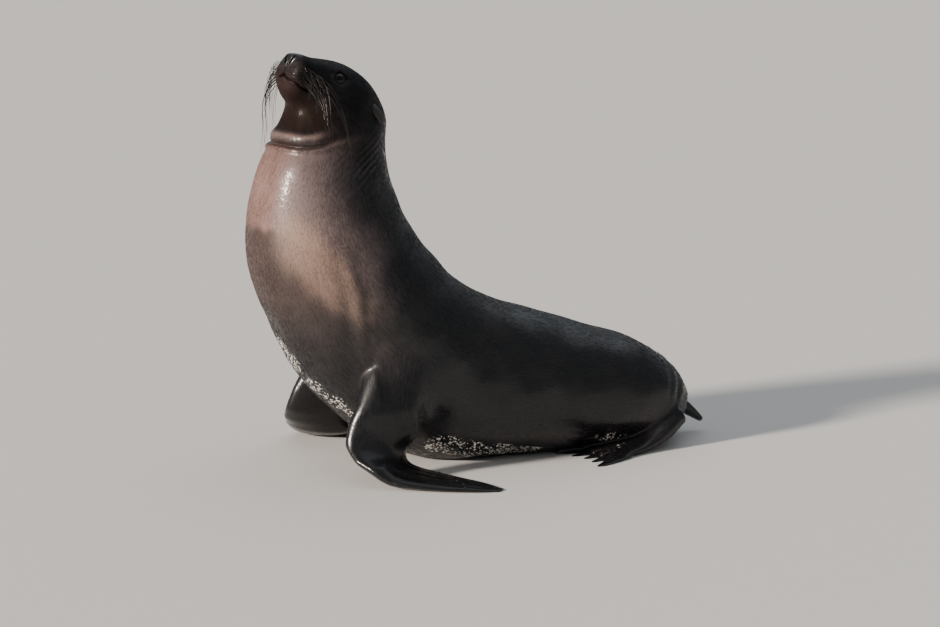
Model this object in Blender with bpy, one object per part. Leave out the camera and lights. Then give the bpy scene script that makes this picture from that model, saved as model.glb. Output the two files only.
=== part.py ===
"""A Galapagos sea lion, an adult female, as a still life-size model: fore flippers braced on the
floor, chest and neck upright, head raised and turned a little to its left, hips down with the
hind flippers turned forward under them.

Metres, +Z up, floor at z = 0. The animal faces -Y and its left side is +X. The origin is on the
floor, under the middle of the belly, where the belly rests.

The flesh from the nose to the rump is one lofted body, parted by thin cuts into head, neck,
chest, loins and rump. Flippers, tail and ears are lofts of their own, cut back to its surface.
"""

import math

import bmesh
import bpy
import numpy as np
from mathutils import Matrix, Vector

# Width of the thin cuts between neighbours
GAP = 0.0003
# Number of sides of the round forms
BODY_SIDES = 32
LIMB_SIDES = 20
EAR_SIDES = 10
TOE_SIDES = 10
TAIL_SIDES = 14
EYE_SIDES = 14

# The animal's left is +X
SIDES = {"left": 1, "right": -1}

# How the head is carried. Pitch lifts the muzzle, turn swings the head to the animal's left.
NOSE_Y = -0.396
NOSE_Z = 0.841
HEAD_PITCH = math.radians(34)
HEAD_TURN = math.radians(15)
NECK_AXIS_Y = -0.310
TURN_FROM_Z = 0.520
TURN_TO_Z = 0.655

# Eyes, ears and the parts of the muzzle, measured along the head from the nose tip
EYE_RADIUS = 0.0165
EYE_BEHIND, EYE_ABOVE, EYE_OUT = 0.102, 0.010, 0.0420
EAR_BEHIND, EAR_ABOVE, EAR_OUT = 0.190, -0.004, 0.074
EAR_LENGTH = 0.042
# Along an ear: share of its length, half width, half thickness
EAR_FORM = (
    (-0.2, 0.0085, 0.0055),
    (0.1, 0.0085, 0.0055),
    (0.4, 0.0075, 0.0045),
    (0.75, 0.0050, 0.0030),
    (1.0, 0.0015, 0.0012),
)
MOUTH_BACK = 0.082
MOUTH_FRONT_DROP, MOUTH_BACK_DROP = 0.042, 0.036
CHIN_BACK, CHIN_DROP = 0.047, 0.083
NOSE_PAD_DEPTH, NOSE_PAD_DROP = 0.011, 0.016
# How far the blocks that part the face reach past it
BLOCK_REACH = 0.080



def on_head(behind, above):
    """(y, z) of a point in the head's own mid-plane, before the head is turned."""
    back = (math.cos(HEAD_PITCH), -math.sin(HEAD_PITCH))
    up = (math.sin(HEAD_PITCH), math.cos(HEAD_PITCH))
    return (
        NOSE_Y + behind * back[0] + above * up[0],
        NOSE_Z + behind * back[1] + above * up[1],
    )


# Sections of the body from nose to rump. Each joins a point of the back line to a point of the
# throat and belly line, (y, z) in the mid-plane, and has a half width, the share of its height
# at which it is widest, and its fullness: 2 is an ellipse, more is squarer.
SECTIONS = {
    "nose": (on_head(0.000, 0.005), on_head(0.005, -0.018), 0.014, 0.55, 2.2),
    "nose_rim": (on_head(0.004, 0.013), on_head(0.010, -0.040), 0.034, 0.50, 2.2),
    "lips": (on_head(0.017, 0.018), on_head(0.020, -0.060), 0.046, 0.55, 2.2),
    "whisker_pad": (on_head(0.042, 0.025), on_head(0.036, -0.074), 0.049, 0.54, 2.1),
    "muzzle": (on_head(0.072, 0.039), on_head(0.052, -0.080), 0.050, 0.52, 2.1),
    "eyes": (on_head(0.108, 0.052), (-0.398, 0.731), 0.058, 0.54, 2.1),
    "brow": (on_head(0.142, 0.056), (-0.401, 0.719), 0.069, 0.53, 2.1),
    "crown": (on_head(0.180, 0.052), (-0.406, 0.706), 0.081, 0.51, 2.1),
    "ears": (on_head(0.217, 0.038), (-0.412, 0.693), 0.091, 0.47, 2.1),
    "nape": (on_head(0.258, 0.008), (-0.422, 0.676), 0.099, 0.45, 2.1),
    "throat": ((-0.187, 0.650), (-0.441, 0.640), 0.115, 0.45, 2.1),
    "mid_neck": ((-0.176, 0.580), (-0.463, 0.575), 0.131, 0.45, 2.1),
    "neck_base": ((-0.150, 0.512), (-0.476, 0.505), 0.148, 0.46, 2.1),
    "shoulder": ((-0.116, 0.458), (-0.473, 0.410), 0.162, 0.48, 2.1),
    "breast": ((-0.079, 0.416), (-0.434, 0.305), 0.172, 0.50, 2.1),
    "withers": ((-0.047, 0.380), (-0.383, 0.200), 0.178, 0.50, 2.1),
    "armpit": ((-0.002, 0.349), (-0.309, 0.112), 0.178, 0.48, 2.1),
    "ribs": ((0.052, 0.323), (-0.205, 0.030), 0.175, 0.46, 2.1),
    "belly": ((0.118, 0.301), (-0.090, -0.010), 0.172, 0.44, 2.2),
    "waist": ((0.188, 0.279), (0.030, -0.012), 0.168, 0.44, 2.2),
    "loins": ((0.250, 0.258), (0.140, -0.012), 0.161, 0.45, 2.2),
    "hips": ((0.310, 0.239), (0.240, -0.010), 0.151, 0.46, 2.2),
    "haunch": ((0.370, 0.216), (0.336, -0.006), 0.138, 0.47, 2.2),
    "seat": ((0.418, 0.186), (0.404, 0.002), 0.118, 0.48, 2.2),
    "rump": ((0.456, 0.152), (0.448, 0.014), 0.092, 0.50, 2.2),
    "tail_root": ((0.477, 0.116), (0.472, 0.036), 0.058, 0.50, 2.1),
    "end": ((0.483, 0.090), (0.482, 0.056), 0.026, 0.50, 2.0),
}

# Each flesh node of the body: its first and last section, how far apart its rings are, its finish
BODY_NODES = (
    ("head", "nose", "nape", 0.0125, "fur_dark"),
    ("neck", "nape", "neck_base", 0.030, "fur_chest"),
    ("chest", "neck_base", "armpit", 0.034, "fur_chest"),
    ("loins", "armpit", "loins", 0.040, "fur_dark"),
    ("rump", "loins", "end", 0.024, "fur_dark"),
)

# Fore limb: shoulder to wrist as (x, y, z), half chord, half thickness
ARM = (
    ((0.080, -0.196, 0.262), 0.068, 0.050),
    ((0.140, -0.206, 0.222), 0.070, 0.048),
    ((0.168, -0.224, 0.168), 0.071, 0.042),
    ((0.180, -0.243, 0.115), 0.076, 0.034),
    ((0.186, -0.258, 0.070), 0.079, 0.028),
)
WRIST = Vector((0.192, -0.262, 0.0))
# How far ahead of these places the hand of each side stands
LEAD = {"left": 0.0, "right": 0.018}
# Hand, lying on its palm: distance from the wrist, height, half chord, half thickness
HAND = (
    (0.018, 0.032, 0.077, 0.025),
    (0.048, 0.016, 0.076, 0.019),
    (0.090, 0.010, 0.072, 0.0145),
    (0.140, 0.007, 0.062, 0.0105),
    (0.190, 0.005, 0.048, 0.0075),
    (0.235, 0.004, 0.030, 0.0055),
    (0.262, 0.003, 0.012, 0.004),
)
HAND_SWEEP = {"left": math.radians(50), "right": math.radians(40)}

# Hind limb: the ankle leaves the rump low at the side, and the foot lies forward on its sole
ANKLE = Vector((0.098, 0.398, 0.0))
FOOT_SPLAY = {"left": math.radians(17), "right": math.radians(22)}
FOOT = (
    (-0.035, 0.066, 0.034, 0.026),
    (0.000, 0.044, 0.040, 0.028),
    (0.035, 0.026, 0.043, 0.023),
    (0.075, 0.013, 0.046, 0.016),
    (0.120, 0.009, 0.051, 0.0115),
    (0.175, 0.006, 0.060, 0.0075),
)
# Toes start under the web and fan out: angle from the foot's line, length, half width
TOE_START = 0.130
TOE_SPREAD = 0.041
TOES = (
    (-16, 0.108, 0.0150),
    (-8, 0.094, 0.0125),
    (0, 0.088, 0.0120),
    (8, 0.094, 0.0125),
    (16, 0.112, 0.0155),
)
# Along a toe: share of its length, share of its half width, half thickness
TOE_FORM = (
    (0.0, 1.0, 0.0062),
    (0.35, 1.05, 0.0058),
    (0.7, 0.95, 0.0042),
    (0.92, 0.7, 0.0028),
    (1.0, 0.3, 0.0018),
)

# Tail: (y, z) in the mid-plane, half width, half thickness
TAIL = (
    (0.440, 0.088, 0.030, 0.021),
    (0.480, 0.064, 0.024, 0.017),
    (0.510, 0.042, 0.017, 0.012),
    (0.532, 0.025, 0.009, 0.007),
)

COLOURS = {
    "fur_dark": ((0.020, 0.018, 0.018), 0.32),
    "fur_chest": ((0.105, 0.070, 0.058), 0.35),
    "skin_black": ((0.012, 0.012, 0.013), 0.40),
    "eye": ((0.006, 0.004, 0.003), 0.05),
}


def material(name):
    """The plain finish of a node: its colour and its roughness."""
    colour, roughness = COLOURS[name]
    finish = bpy.data.materials.get(name) or bpy.data.materials.new(name)
    finish.use_nodes = True
    shader = finish.node_tree.nodes["Principled BSDF"]
    shader.inputs["Base Color"].default_value = (*colour, 1.0)
    shader.inputs["Roughness"].default_value = roughness
    shader.inputs["Metallic"].default_value = 0.0
    return finish


def smooth_rows(rows, places, wanted):
    """Rows read at the wanted places, on a smooth curve that passes through the given rows."""
    gaps = np.diff(places)[:, None]
    slopes = np.diff(rows, axis=0) / gaps
    inner = (slopes[:-1] * gaps[1:] + slopes[1:] * gaps[:-1]) / (gaps[:-1] + gaps[1:])
    tangents = np.vstack([slopes[:1], inner, slopes[-1:]])
    span = np.clip(np.searchsorted(places, wanted, side="right") - 1, 0, len(gaps) - 1)
    gap = gaps[span]
    u = (wanted - places[span])[:, None] / gap
    return (
        (1 + 2 * u) * (1 - u) ** 2 * rows[span]
        + u * (1 - u) ** 2 * gap * tangents[span]
        + u**2 * (3 - 2 * u) * rows[span + 1]
        + u**2 * (u - 1) * gap * tangents[span + 1]
    )


def superellipse(sides, fullness):
    """The unit outline of a section, as its parts across and along, each from -1 to 1."""
    angles = np.arange(sides) * 2 * math.pi / sides
    power = 2 / fullness
    across = np.sign(np.cos(angles)) * np.abs(np.cos(angles)) ** power
    along = np.sign(np.sin(angles)) * np.abs(np.sin(angles)) ** power
    return across, along


def turned(points):
    """The neck's twist: none below TURN_FROM_Z, and the whole HEAD_TURN above TURN_TO_Z."""
    share = np.clip((points[:, 2] - TURN_FROM_Z) / (TURN_TO_Z - TURN_FROM_Z), 0, 1)
    angle = HEAD_TURN * share**2 * (3 - 2 * share)
    x, y = points[:, 0], points[:, 1] - NECK_AXIS_Y
    new_x = x * np.cos(angle) - y * np.sin(angle)
    new_y = x * np.sin(angle) + y * np.cos(angle) + NECK_AXIS_Y
    return np.column_stack([new_x, new_y, points[:, 2]])


def on_floor(points):
    """What would sink below the floor lies flat on it."""
    return np.column_stack([points[:, 0], points[:, 1], np.maximum(points[:, 2], 0.0)])


def body_ring(section, grow=0.0, shift=0.0):
    """One ring of the body. grow swells it, and shift moves it towards the nose."""
    back, belly = section[0:2], section[2:4]
    half_width, widest, fullness = section[4:7]
    height = np.linalg.norm(back - belly)
    rise = (back - belly) / height
    forward = np.array([-rise[1], rise[0]])
    middle = belly + widest * height * rise + shift * forward
    across, along = superellipse(BODY_SIDES, fullness)
    reach = np.where(along > 0, 1 - widest, widest) * height + grow
    side_view = middle + (along * reach)[:, None] * rise
    return on_floor(turned(np.column_stack([across * (half_width + grow), side_view])))


def body_sections():
    """Every section as a row of numbers, and its place along the body."""
    rows = np.array([[*back, *belly, *rest] for back, belly, *rest in SECTIONS.values()])
    back_steps = np.linalg.norm(np.diff(rows[:, 0:2], axis=0), axis=1)
    belly_steps = np.linalg.norm(np.diff(rows[:, 2:4], axis=0), axis=1)
    return rows, np.concatenate([[0.0], np.cumsum((back_steps + belly_steps) / 2)])


def body_rings(first, last, spacing, grow=0.0, gap=0.0):
    """Rings from one named section to another. Where the body goes on, half the gap is left."""
    rows, places = body_sections()
    names = list(SECTIONS)
    start, end = places[names.index(first)], places[names.index(last)]
    wanted = np.linspace(start, end, round((end - start) / spacing) + 1)
    shifts = np.zeros(len(wanted))
    shifts[0] = 0.0 if first == names[0] else -gap / 2
    shifts[-1] = 0.0 if last == names[-1] else gap / 2
    sections = smooth_rows(rows, places, wanted)
    return [body_ring(section, grow, shift) for section, shift in zip(sections, shifts)]


def new_object(name, mesh, finish):
    mesh.materials.clear()
    mesh.materials.append(material(finish))
    mesh.shade_smooth()
    mesh.set_sharp_from_angle(angle=math.radians(42))
    obj = bpy.data.objects.new(name, mesh)
    bpy.context.scene.collection.objects.link(obj)
    return obj


def from_bmesh(name, shape, finish):
    bmesh.ops.recalc_face_normals(shape, faces=shape.faces)
    mesh = bpy.data.meshes.new(name)
    shape.to_mesh(mesh)
    shape.free()
    return new_object(name, mesh, finish)


def loft(name, rings, finish="fur_dark"):
    """A closed solid through the rings, capped at both ends by a fan of triangles."""
    shape = bmesh.new()
    loops = [[shape.verts.new(point) for point in ring] for ring in rings]
    sides = range(len(rings[0]))
    for loop, after in zip(loops, loops[1:]):
        for i in sides:
            shape.faces.new((loop[i - 1], loop[i], after[i], after[i - 1]))
    for loop, ring in ((loops[0], rings[0]), (loops[-1], rings[-1])):
        centre = shape.verts.new(ring.mean(axis=0))
        for i in sides:
            shape.faces.new((loop[i - 1], loop[i], centre))
    return from_bmesh(name, shape, finish)


def sphere(name, centre, radius):
    shape = bmesh.new()
    place = Matrix.Translation(centre)
    bmesh.ops.create_uvsphere(
        shape, u_segments=EYE_SIDES, v_segments=EYE_SIDES // 2, radius=radius, matrix=place
    )
    return from_bmesh(name, shape, "eye")


def as_guide(obj):
    """A cutter: it shapes other pieces, and isn't part of the animal."""
    obj.hide_render = True
    obj.display_type = "WIRE"
    return obj


def boolean(obj, other, operation):
    step = obj.modifiers.new(f"{operation.lower()}_{other.name}", "BOOLEAN")
    step.operation = operation
    step.object = other
    step.solver = "EXACT"


def limb_rings(stations, chords, sides=LIMB_SIDES, steps=2, thin_edge=0.0):
    """Rings along a limb, steps of them to each station.

    A station is its centre, half chord and half thickness. A chord points from the leading edge
    to the trailing edge, which thin_edge thins towards the tip, as on a hydrofoil.
    """
    rows = np.array([[*centre, *sizes, *chord] for (centre, *sizes), chord in zip(stations, chords)])
    lengths = np.linalg.norm(np.diff(rows[:, :3], axis=0), axis=1)
    places = np.concatenate([[0.0], np.cumsum(lengths)])
    counts = np.arange((len(rows) - 1) * steps + 1) / steps
    wanted = np.interp(counts, np.arange(len(rows)), places)
    read = smooth_rows(rows, places, wanted)
    directions = np.gradient(read[:, :3], wanted, axis=0)
    across, along = superellipse(sides, 2.0)
    rings = []
    for row, direction, share in zip(read, directions, wanted / wanted[-1]):
        direction = direction / np.linalg.norm(direction)
        chord = row[5:8] - direction * (row[5:8] @ direction)
        chord /= np.linalg.norm(chord)
        thickness = row[4] * (1 - thin_edge * share * (1 + across) / 2)
        upward = np.cross(direction, chord)
        ring = row[:3] + np.outer(across * row[3], chord) + np.outer(along * thickness, upward)
        rings.append(on_floor(ring))
    return rings


def cut_back(limb, body):
    """A limb ends where it meets the body's surface, less the gap."""
    boolean(limb, body, "DIFFERENCE")
    return limb


def head_frame():
    """The head's own axes from the nose tip: X out to its left, Y back, Z up."""
    turn = Matrix.Translation((0, NECK_AXIS_Y, 0)) @ Matrix.Rotation(HEAD_TURN, 4, "Z")
    nose_tip = Matrix.Translation((0, NOSE_Y - NECK_AXIS_Y, NOSE_Z))
    return turn @ nose_tip @ Matrix.Rotation(-HEAD_PITCH, 4, "X")


def head_block(name, outline):
    """A cutter with the given outline in the head's mid-plane, (behind, above), through both sides."""
    shape = bmesh.new()
    corners = [shape.verts.new((-BLOCK_REACH, *corner)) for corner in outline]
    face = shape.faces.new(corners)
    grown = bmesh.ops.extrude_face_region(shape, geom=[face])["geom"]
    moved = [v for v in grown if isinstance(v, bmesh.types.BMVert)]
    bmesh.ops.translate(shape, vec=(2 * BLOCK_REACH, 0, 0), verts=moved)
    bmesh.ops.transform(shape, matrix=head_frame(), verts=shape.verts)
    return as_guide(from_bmesh(name, shape, "fur_dark"))


def part_from_head(name, outline_less, finish):
    """Cuts a piece out of the head's front. outline_less gives its outline, less a given gap."""
    head = bpy.data.objects["head"]
    piece = new_object(name, head.data.copy(), finish)
    boolean(piece, head_block(f"{name}_block", outline_less(GAP)), "INTERSECT")
    boolean(head, head_block(f"{name}_space", outline_less(0.0)), "DIFFERENCE")


def jaw_outline(gap):
    """Ahead of and below the mouth line, down to the fold between chin and throat."""
    return (
        (-BLOCK_REACH, -MOUTH_FRONT_DROP - gap),
        (MOUTH_BACK - 2 * gap, -MOUTH_BACK_DROP - gap),
        (CHIN_BACK - gap, -CHIN_DROP),
        (CHIN_BACK - gap, -2 * BLOCK_REACH),
        (-BLOCK_REACH, -2 * BLOCK_REACH),
    )


def nose_outline(gap):
    """The naked pad at the muzzle's tip."""
    return (
        (-BLOCK_REACH, -NOSE_PAD_DROP + gap),
        (NOSE_PAD_DEPTH - gap, -NOSE_PAD_DROP + gap),
        (NOSE_PAD_DEPTH - gap, BLOCK_REACH),
        (-BLOCK_REACH, BLOCK_REACH),
    )


def build_body():
    """The five lengths of the body. Returns the whole body, a little swollen, as a cutter."""
    whole = []
    for name, first, last, spacing, finish in BODY_NODES:
        loft(name, body_rings(first, last, spacing, gap=GAP), finish)
        swollen = body_rings(first, last, spacing, grow=GAP)
        whole += swollen[1:] if whole else swollen
    return as_guide(loft("body_surface", whole))


def build_face():
    """Lower jaw, nose pad and eyes, each parted from the head."""
    part_from_head("lower_jaw", jaw_outline, "fur_dark")
    part_from_head("nose", nose_outline, "skin_black")
    for name, side in SIDES.items():
        centre = head_frame() @ Vector((side * EYE_OUT, EYE_BEHIND, EYE_ABOVE))
        sphere(f"eye_{name}", centre, EYE_RADIUS)
        socket = as_guide(sphere(f"socket_{name}", centre, EYE_RADIUS + GAP))
        boolean(bpy.data.objects["head"], socket, "DIFFERENCE")


def build_ears(body):
    """A small furled cone behind each eye, which points out, back and down."""
    frame = head_frame()
    chord = frame.to_3x3() @ Vector((0, 0.45, 0.9))
    for name, side in SIDES.items():
        root = Vector((side * EAR_OUT, EAR_BEHIND, EAR_ABOVE))
        lie = Vector((side * 0.62, 0.66, -0.42)).normalized()
        bend = Vector((-side * 0.006, 0.0, -0.004))
        stations = []
        for share, *sizes in EAR_FORM:
            centre = root + lie * EAR_LENGTH * share + bend * share**2
            stations.append((frame @ centre, *sizes))
        rings = limb_rings(stations, [chord] * len(stations), EAR_SIDES)
        cut_back(loft(f"ear_{name}", rings), body)


def build_fore_limbs(body):
    """Arm and hand of each fore flipper, parted at the wrist. The hand lies on its palm."""
    for name, side in SIDES.items():
        sweep = HAND_SWEEP[name]
        outward = Vector((side * math.cos(sweep), math.sin(sweep), 0))
        trailing = Vector((-side * math.sin(sweep), math.cos(sweep), 0))
        lead = Vector((0, -LEAD[name], 0))
        mirror = Vector((side, 1, 1))
        stations = []
        for i, (centre, *sizes) in enumerate(ARM):
            stations.append((Vector(centre) * mirror + lead * i / len(ARM), *sizes))
        for distance, height, *sizes in HAND:
            place = WRIST * mirror + lead + outward * distance + Vector((0, 0, height))
            stations.append((place, *sizes))
        chords = [Vector((0, 1, 0))] * len(ARM) + [trailing] * len(HAND)
        steps = 2
        rings = limb_rings(stations, chords, steps=steps, thin_edge=0.6)
        wrist = len(ARM) * steps
        cut_back(loft(f"fore_arm_{name}", rings[: wrist + 1]), body)
        away = Vector(rings[wrist + 1].mean(axis=0) - rings[wrist].mean(axis=0)).normalized()
        hand = [rings[wrist] + np.array(away) * GAP, *rings[wrist + 1 :]]
        cut_back(loft(f"fore_flipper_{name}", hand, "skin_black"), body)


def build_hind_limbs(body):
    """Each hind flipper: a foot turned forward on its sole, with five toes joined to it."""
    for name, side in SIDES.items():
        splay = FOOT_SPLAY[name]
        line = Vector((side * math.sin(splay), -math.cos(splay), 0))
        across = Vector((-side * math.cos(splay), -math.sin(splay), 0))
        ankle = ANKLE * Vector((side, 1, 1))
        stations = []
        for distance, height, *sizes in FOOT:
            stations.append((ankle + line * distance + Vector((0, 0, height)), *sizes))
        rings = limb_rings(stations, [across] * len(stations))
        foot = loft(f"hind_flipper_{name}", rings, "skin_black")
        for number, (angle, length, half_width) in enumerate(TOES):
            turn = Matrix.Rotation(math.radians(angle) * side, 3, "Z")
            aim = turn @ line
            start = ankle + line * TOE_START - across * TOE_SPREAD * angle / TOES[-1][0]
            stations = []
            for share, width, thickness in TOE_FORM:
                centre = start + aim * length * share + Vector((0, 0, thickness * 0.7))
                stations.append((centre, half_width * width, thickness))
            rings = limb_rings(stations, [across] * len(stations), TOE_SIDES, steps=1)
            toe = loft(f"toe_{name}_{number}", rings, "skin_black")
            boolean(foot, as_guide(toe), "UNION")
        cut_back(foot, body)


def build_tail(body):
    stations = [(Vector((0, y, z)), *sizes) for y, z, *sizes in TAIL]
    rings = limb_rings(stations, [Vector((1, 0, 0))] * len(stations), TAIL_SIDES)
    cut_back(loft("tail", rings), body)


def main():
    for obj in list(bpy.data.objects):
        bpy.data.objects.remove(obj)
    body = build_body()
    build_face()
    build_ears(body)
    build_fore_limbs(body)
    build_hind_limbs(body)
    build_tail(body)


main()
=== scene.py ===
"""A Galapagos sea lion, an adult female just out of the water, as a still life-size model.

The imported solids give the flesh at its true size. One skin takes their place, with the muzzle,
lids, folds and flippers worked into it. Eyes, ears, nails and whiskers are pieces of their own,
and flat wet tufts of the coat lie over the skin.
"""

import math

import bmesh
import bpy
import numpy as np
from mathutils import Matrix, Vector
from mathutils.bvhtree import BVHTree


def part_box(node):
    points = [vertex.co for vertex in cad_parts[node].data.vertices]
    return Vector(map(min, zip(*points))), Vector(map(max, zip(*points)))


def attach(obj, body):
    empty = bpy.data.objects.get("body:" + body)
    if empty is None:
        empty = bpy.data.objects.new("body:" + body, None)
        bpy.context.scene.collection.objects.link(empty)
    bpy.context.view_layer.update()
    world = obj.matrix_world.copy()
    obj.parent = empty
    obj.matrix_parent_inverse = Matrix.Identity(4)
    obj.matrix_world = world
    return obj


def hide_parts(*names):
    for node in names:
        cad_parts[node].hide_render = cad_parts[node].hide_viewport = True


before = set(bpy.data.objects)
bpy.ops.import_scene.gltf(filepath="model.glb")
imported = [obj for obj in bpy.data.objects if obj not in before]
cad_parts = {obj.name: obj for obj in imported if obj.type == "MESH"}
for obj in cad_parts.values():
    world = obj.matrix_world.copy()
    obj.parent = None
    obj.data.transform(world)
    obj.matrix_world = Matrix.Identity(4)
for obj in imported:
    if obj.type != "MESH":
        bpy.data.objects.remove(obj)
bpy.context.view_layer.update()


# ---------------------------------------------------------------------------------------------
# How she is shown: on a pale seamless floor, under a low lamp ahead of her and a broad weak one
# overhead for the line of the back, both far off, and a camera level with her left shoulder.

LOOK_AT = Vector((0.0, 0.0, 0.291))
CAMERA_AZIMUTH, CAMERA_ELEVATION = 70.0, 10.5
CAMERA_DISTANCE, CAMERA_LENS = 6.0, 110.3
# A lamp: azimuth, elevation and spread in degrees, strength, colour
LAMPS = {
    "key": (11.0, 19.0, 7.0, 6.0, "#fff2e6"),
    "overhead": (245.0, 62.0, 70.0, 0.6, "#e2ebf5"),
}
FLOOR_SIZE = 400.0
FLOOR_COLOUR, FLOOR_MOTTLE, FLOOR_ROUGHNESS = "#ebe8e4", "#e2dfda", 0.7
# The paper's tone drifts about this many times from edge to edge
FLOOR_DRIFTS = 3.0
SKY_COLOUR, SKY_STRENGTH = "#e3e8ec", 0.34


def linear(hex_colour):
    """An sRGB hex colour as linear red, green, blue and a full alpha."""
    parts = [int(hex_colour[i : i + 2], 16) / 255 for i in (1, 3, 5)]
    return (*[c / 12.92 if c <= 0.04045 else ((c + 0.055) / 1.055) ** 2.4 for c in parts], 1.0)


def set_inputs(node, inputs):
    """Each input of the node gets a plain value, or a link from a node or one of its outputs."""
    for name, value in inputs.items():
        if isinstance(value, bpy.types.Node):
            value = next(output for output in value.outputs if output.enabled)
        if isinstance(value, bpy.types.NodeSocket):
            node.id_data.links.new(value, node.inputs[name])
        else:
            node.inputs[name].default_value = value


def add(tree, kind, inputs=None, **settings):
    """Adds a node with its settings and links.

    Inputs go by name, or by number where names repeat. A mix has its share at 0, plain values at 2
    and 3 and colours at 6 and 7. A range has its value at 0, from at 1 and 2, and to at 3 and 4.
    """
    made = tree.nodes.new(f"ShaderNode{kind}")
    for name, value in settings.items():
        setattr(made, name, value)
    set_inputs(made, inputs or {})
    return made


def new_material(name):
    """A material with one Principled BSDF. Returns it, its node tree and the shader."""
    made = bpy.data.materials.new(name)
    made.use_nodes = True
    return made, made.node_tree, made.node_tree.nodes["Principled BSDF"]


def around(azimuth, elevation, distance):
    """A place at that distance from LOOK_AT. Azimuth 0 is ahead of her and 90 at her left."""
    across, rise = math.radians(azimuth), math.radians(elevation)
    level = distance * math.cos(rise)
    offset = (level * math.sin(across), -level * math.cos(across), distance * math.sin(rise))
    return LOOK_AT + Vector(offset)


def aimed(name, data, place):
    """An object at that place which looks at LOOK_AT."""
    made = bpy.data.objects.new(name, data)
    made.location = place
    made.rotation_euler = (LOOK_AT - place).to_track_quat("-Z", "Y").to_euler()
    bpy.context.scene.collection.objects.link(made)
    return made


camera_data = bpy.data.cameras.new("camera")
camera_data.lens = CAMERA_LENS
camera_place = around(CAMERA_AZIMUTH, CAMERA_ELEVATION, CAMERA_DISTANCE)
bpy.context.scene.camera = aimed("camera", camera_data, camera_place)

for lamp_name, (azimuth, elevation, lamp_spread, strength, tint) in LAMPS.items():
    lamp = bpy.data.lights.new(lamp_name, "SUN")
    lamp.angle = math.radians(lamp_spread)
    lamp.energy = strength
    lamp.color = linear(tint)[:3]
    aimed(lamp_name, lamp, around(azimuth, elevation, CAMERA_DISTANCE))

world = bpy.data.worlds.new("studio")
world.use_nodes = True
world.node_tree.nodes["Background"].inputs["Color"].default_value = linear(SKY_COLOUR)
world.node_tree.nodes["Background"].inputs["Strength"].default_value = SKY_STRENGTH
bpy.context.scene.world = world

# Matt seamless paper: pale and even, so that nothing on it draws the eye
paper, tree, shader = new_material("seamless_paper")
drift = add(tree, "TexNoise", {"Scale": FLOOR_DRIFTS, "Detail": 4.0})
colour = add(tree, "Mix", {0: drift, 6: linear(FLOOR_COLOUR), 7: linear(FLOOR_MOTTLE)}, data_type="RGBA")
set_inputs(shader, {"Base Color": colour, "Roughness": FLOOR_ROUGHNESS})

floor_mesh = bpy.data.meshes.new("floor")
half = FLOOR_SIZE / 2
corners = [(-half, -half, 0), (half, -half, 0), (half, half, 0), (-half, half, 0)]
floor_mesh.from_pydata(corners, [], [(0, 1, 2, 3)])
floor_mesh.materials.append(paper)
floor = bpy.data.objects.new("floor", floor_mesh)
bpy.context.scene.collection.objects.link(floor)


# ---------------------------------------------------------------------------------------------
# The skin: one sheet of hide over all the flesh, from the nose pad to the hind toes. It is made
# by growing the solids into one body, smoothing it as fat smooths a sea lion, and drawing it in
# by the depth of the coat.

VOXEL = 0.0032
SWELL = 0.0004
COAT_DEPTH = 0.0010
WELD = 0.00001
NOT_FLESH = ("eye", "ear")
SIDES = {"left": 1, "right": -1}

# The head's carriage, and where its eyes lie in its own frame
HEAD_TURN, HEAD_PITCH = math.radians(15), math.radians(34)
EYE_BEHIND, EYE_ABOVE = 0.102, 0.010
# In that frame, where the head becomes the neck behind and below, and where the face ends
NECK_BEHIND, NECK_BELOW, FACE_BEHIND = (0.17, 0.27), (-0.105, -0.15), (0.07, 0.13)

# How strongly each region is smoothed, as the share of the way to the neighbours' mean
SMOOTH_TIMES = 80
SMOOTH_BODY, SMOOTH_HEAD, SMOOTH_FACE = 0.50, 0.10, 0.035
SMOOTH_ARM, SMOOTH_FLIPPER = 0.22, 0.03
# How far round its solid a limb is smoothed in its own way
ARM_REACH, FLIPPER_REACH = 0.020, 0.012
# The web of loose hide over the upper arm: its reach over arm and flank, and where it gives way
# upwards, near the floor and ahead
WEB_ARM_REACH, WEB_FLANK_REACH = 0.055, 0.050
WEB_TOP, WEB_FOOT, WEB_FRONT = (0.13, 0.20), (0.025, 0.060), (-0.268, -0.235)
WEB_SHARE, WEB_TIMES = 0.6, 500
# Under the arm's rear edge, where it turns out into the flipper: a middle and radii
HEEL = ((0.178, -0.200, 0.052), (0.036, 0.034, 0.036))
HEEL_SHARE, HEEL_LEAST, HEEL_TIMES = 0.6, 0.15, 150
# The armpit ahead of the web, whose fold is deepened
ARMPIT_REACH, ARMPIT_FRONT = 0.030, (-0.262, -0.240)
ARMPIT_SHARE, ARMPIT_TIMES, ARMPIT_DEEPENING = 0.5, 40, 1.2


def smooth_step(low, high, values):
    """0 at low and 1 at high, eased between them. Low may be the larger."""
    share = np.clip((values - low) / (high - low), 0, 1)
    return share**2 * (3 - 2 * share)


def middle_of(node):
    """The middle of a solid's box."""
    low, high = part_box(node)
    return (low + high) / 2


def head_frame():
    """The head's axes: X out to its left, Y back from the nose tip, Z up."""
    turned = Matrix.Rotation(HEAD_TURN, 4, "Z") @ Matrix.Rotation(-HEAD_PITCH, 4, "X")
    eyes = (middle_of("eye_left") + middle_of("eye_right")) / 2
    nose_tip = eyes - turned.to_3x3() @ Vector((0, EYE_BEHIND, EYE_ABOVE))
    return Matrix.Translation(nose_tip) @ turned


HEAD = np.array(head_frame())
TO_HEAD = np.linalg.inv(HEAD)


def moved(points, matrix):
    """The points carried by a matrix, such as out of the head's frame."""
    return points @ matrix[:3, :3].T + matrix[:3, 3]


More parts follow.
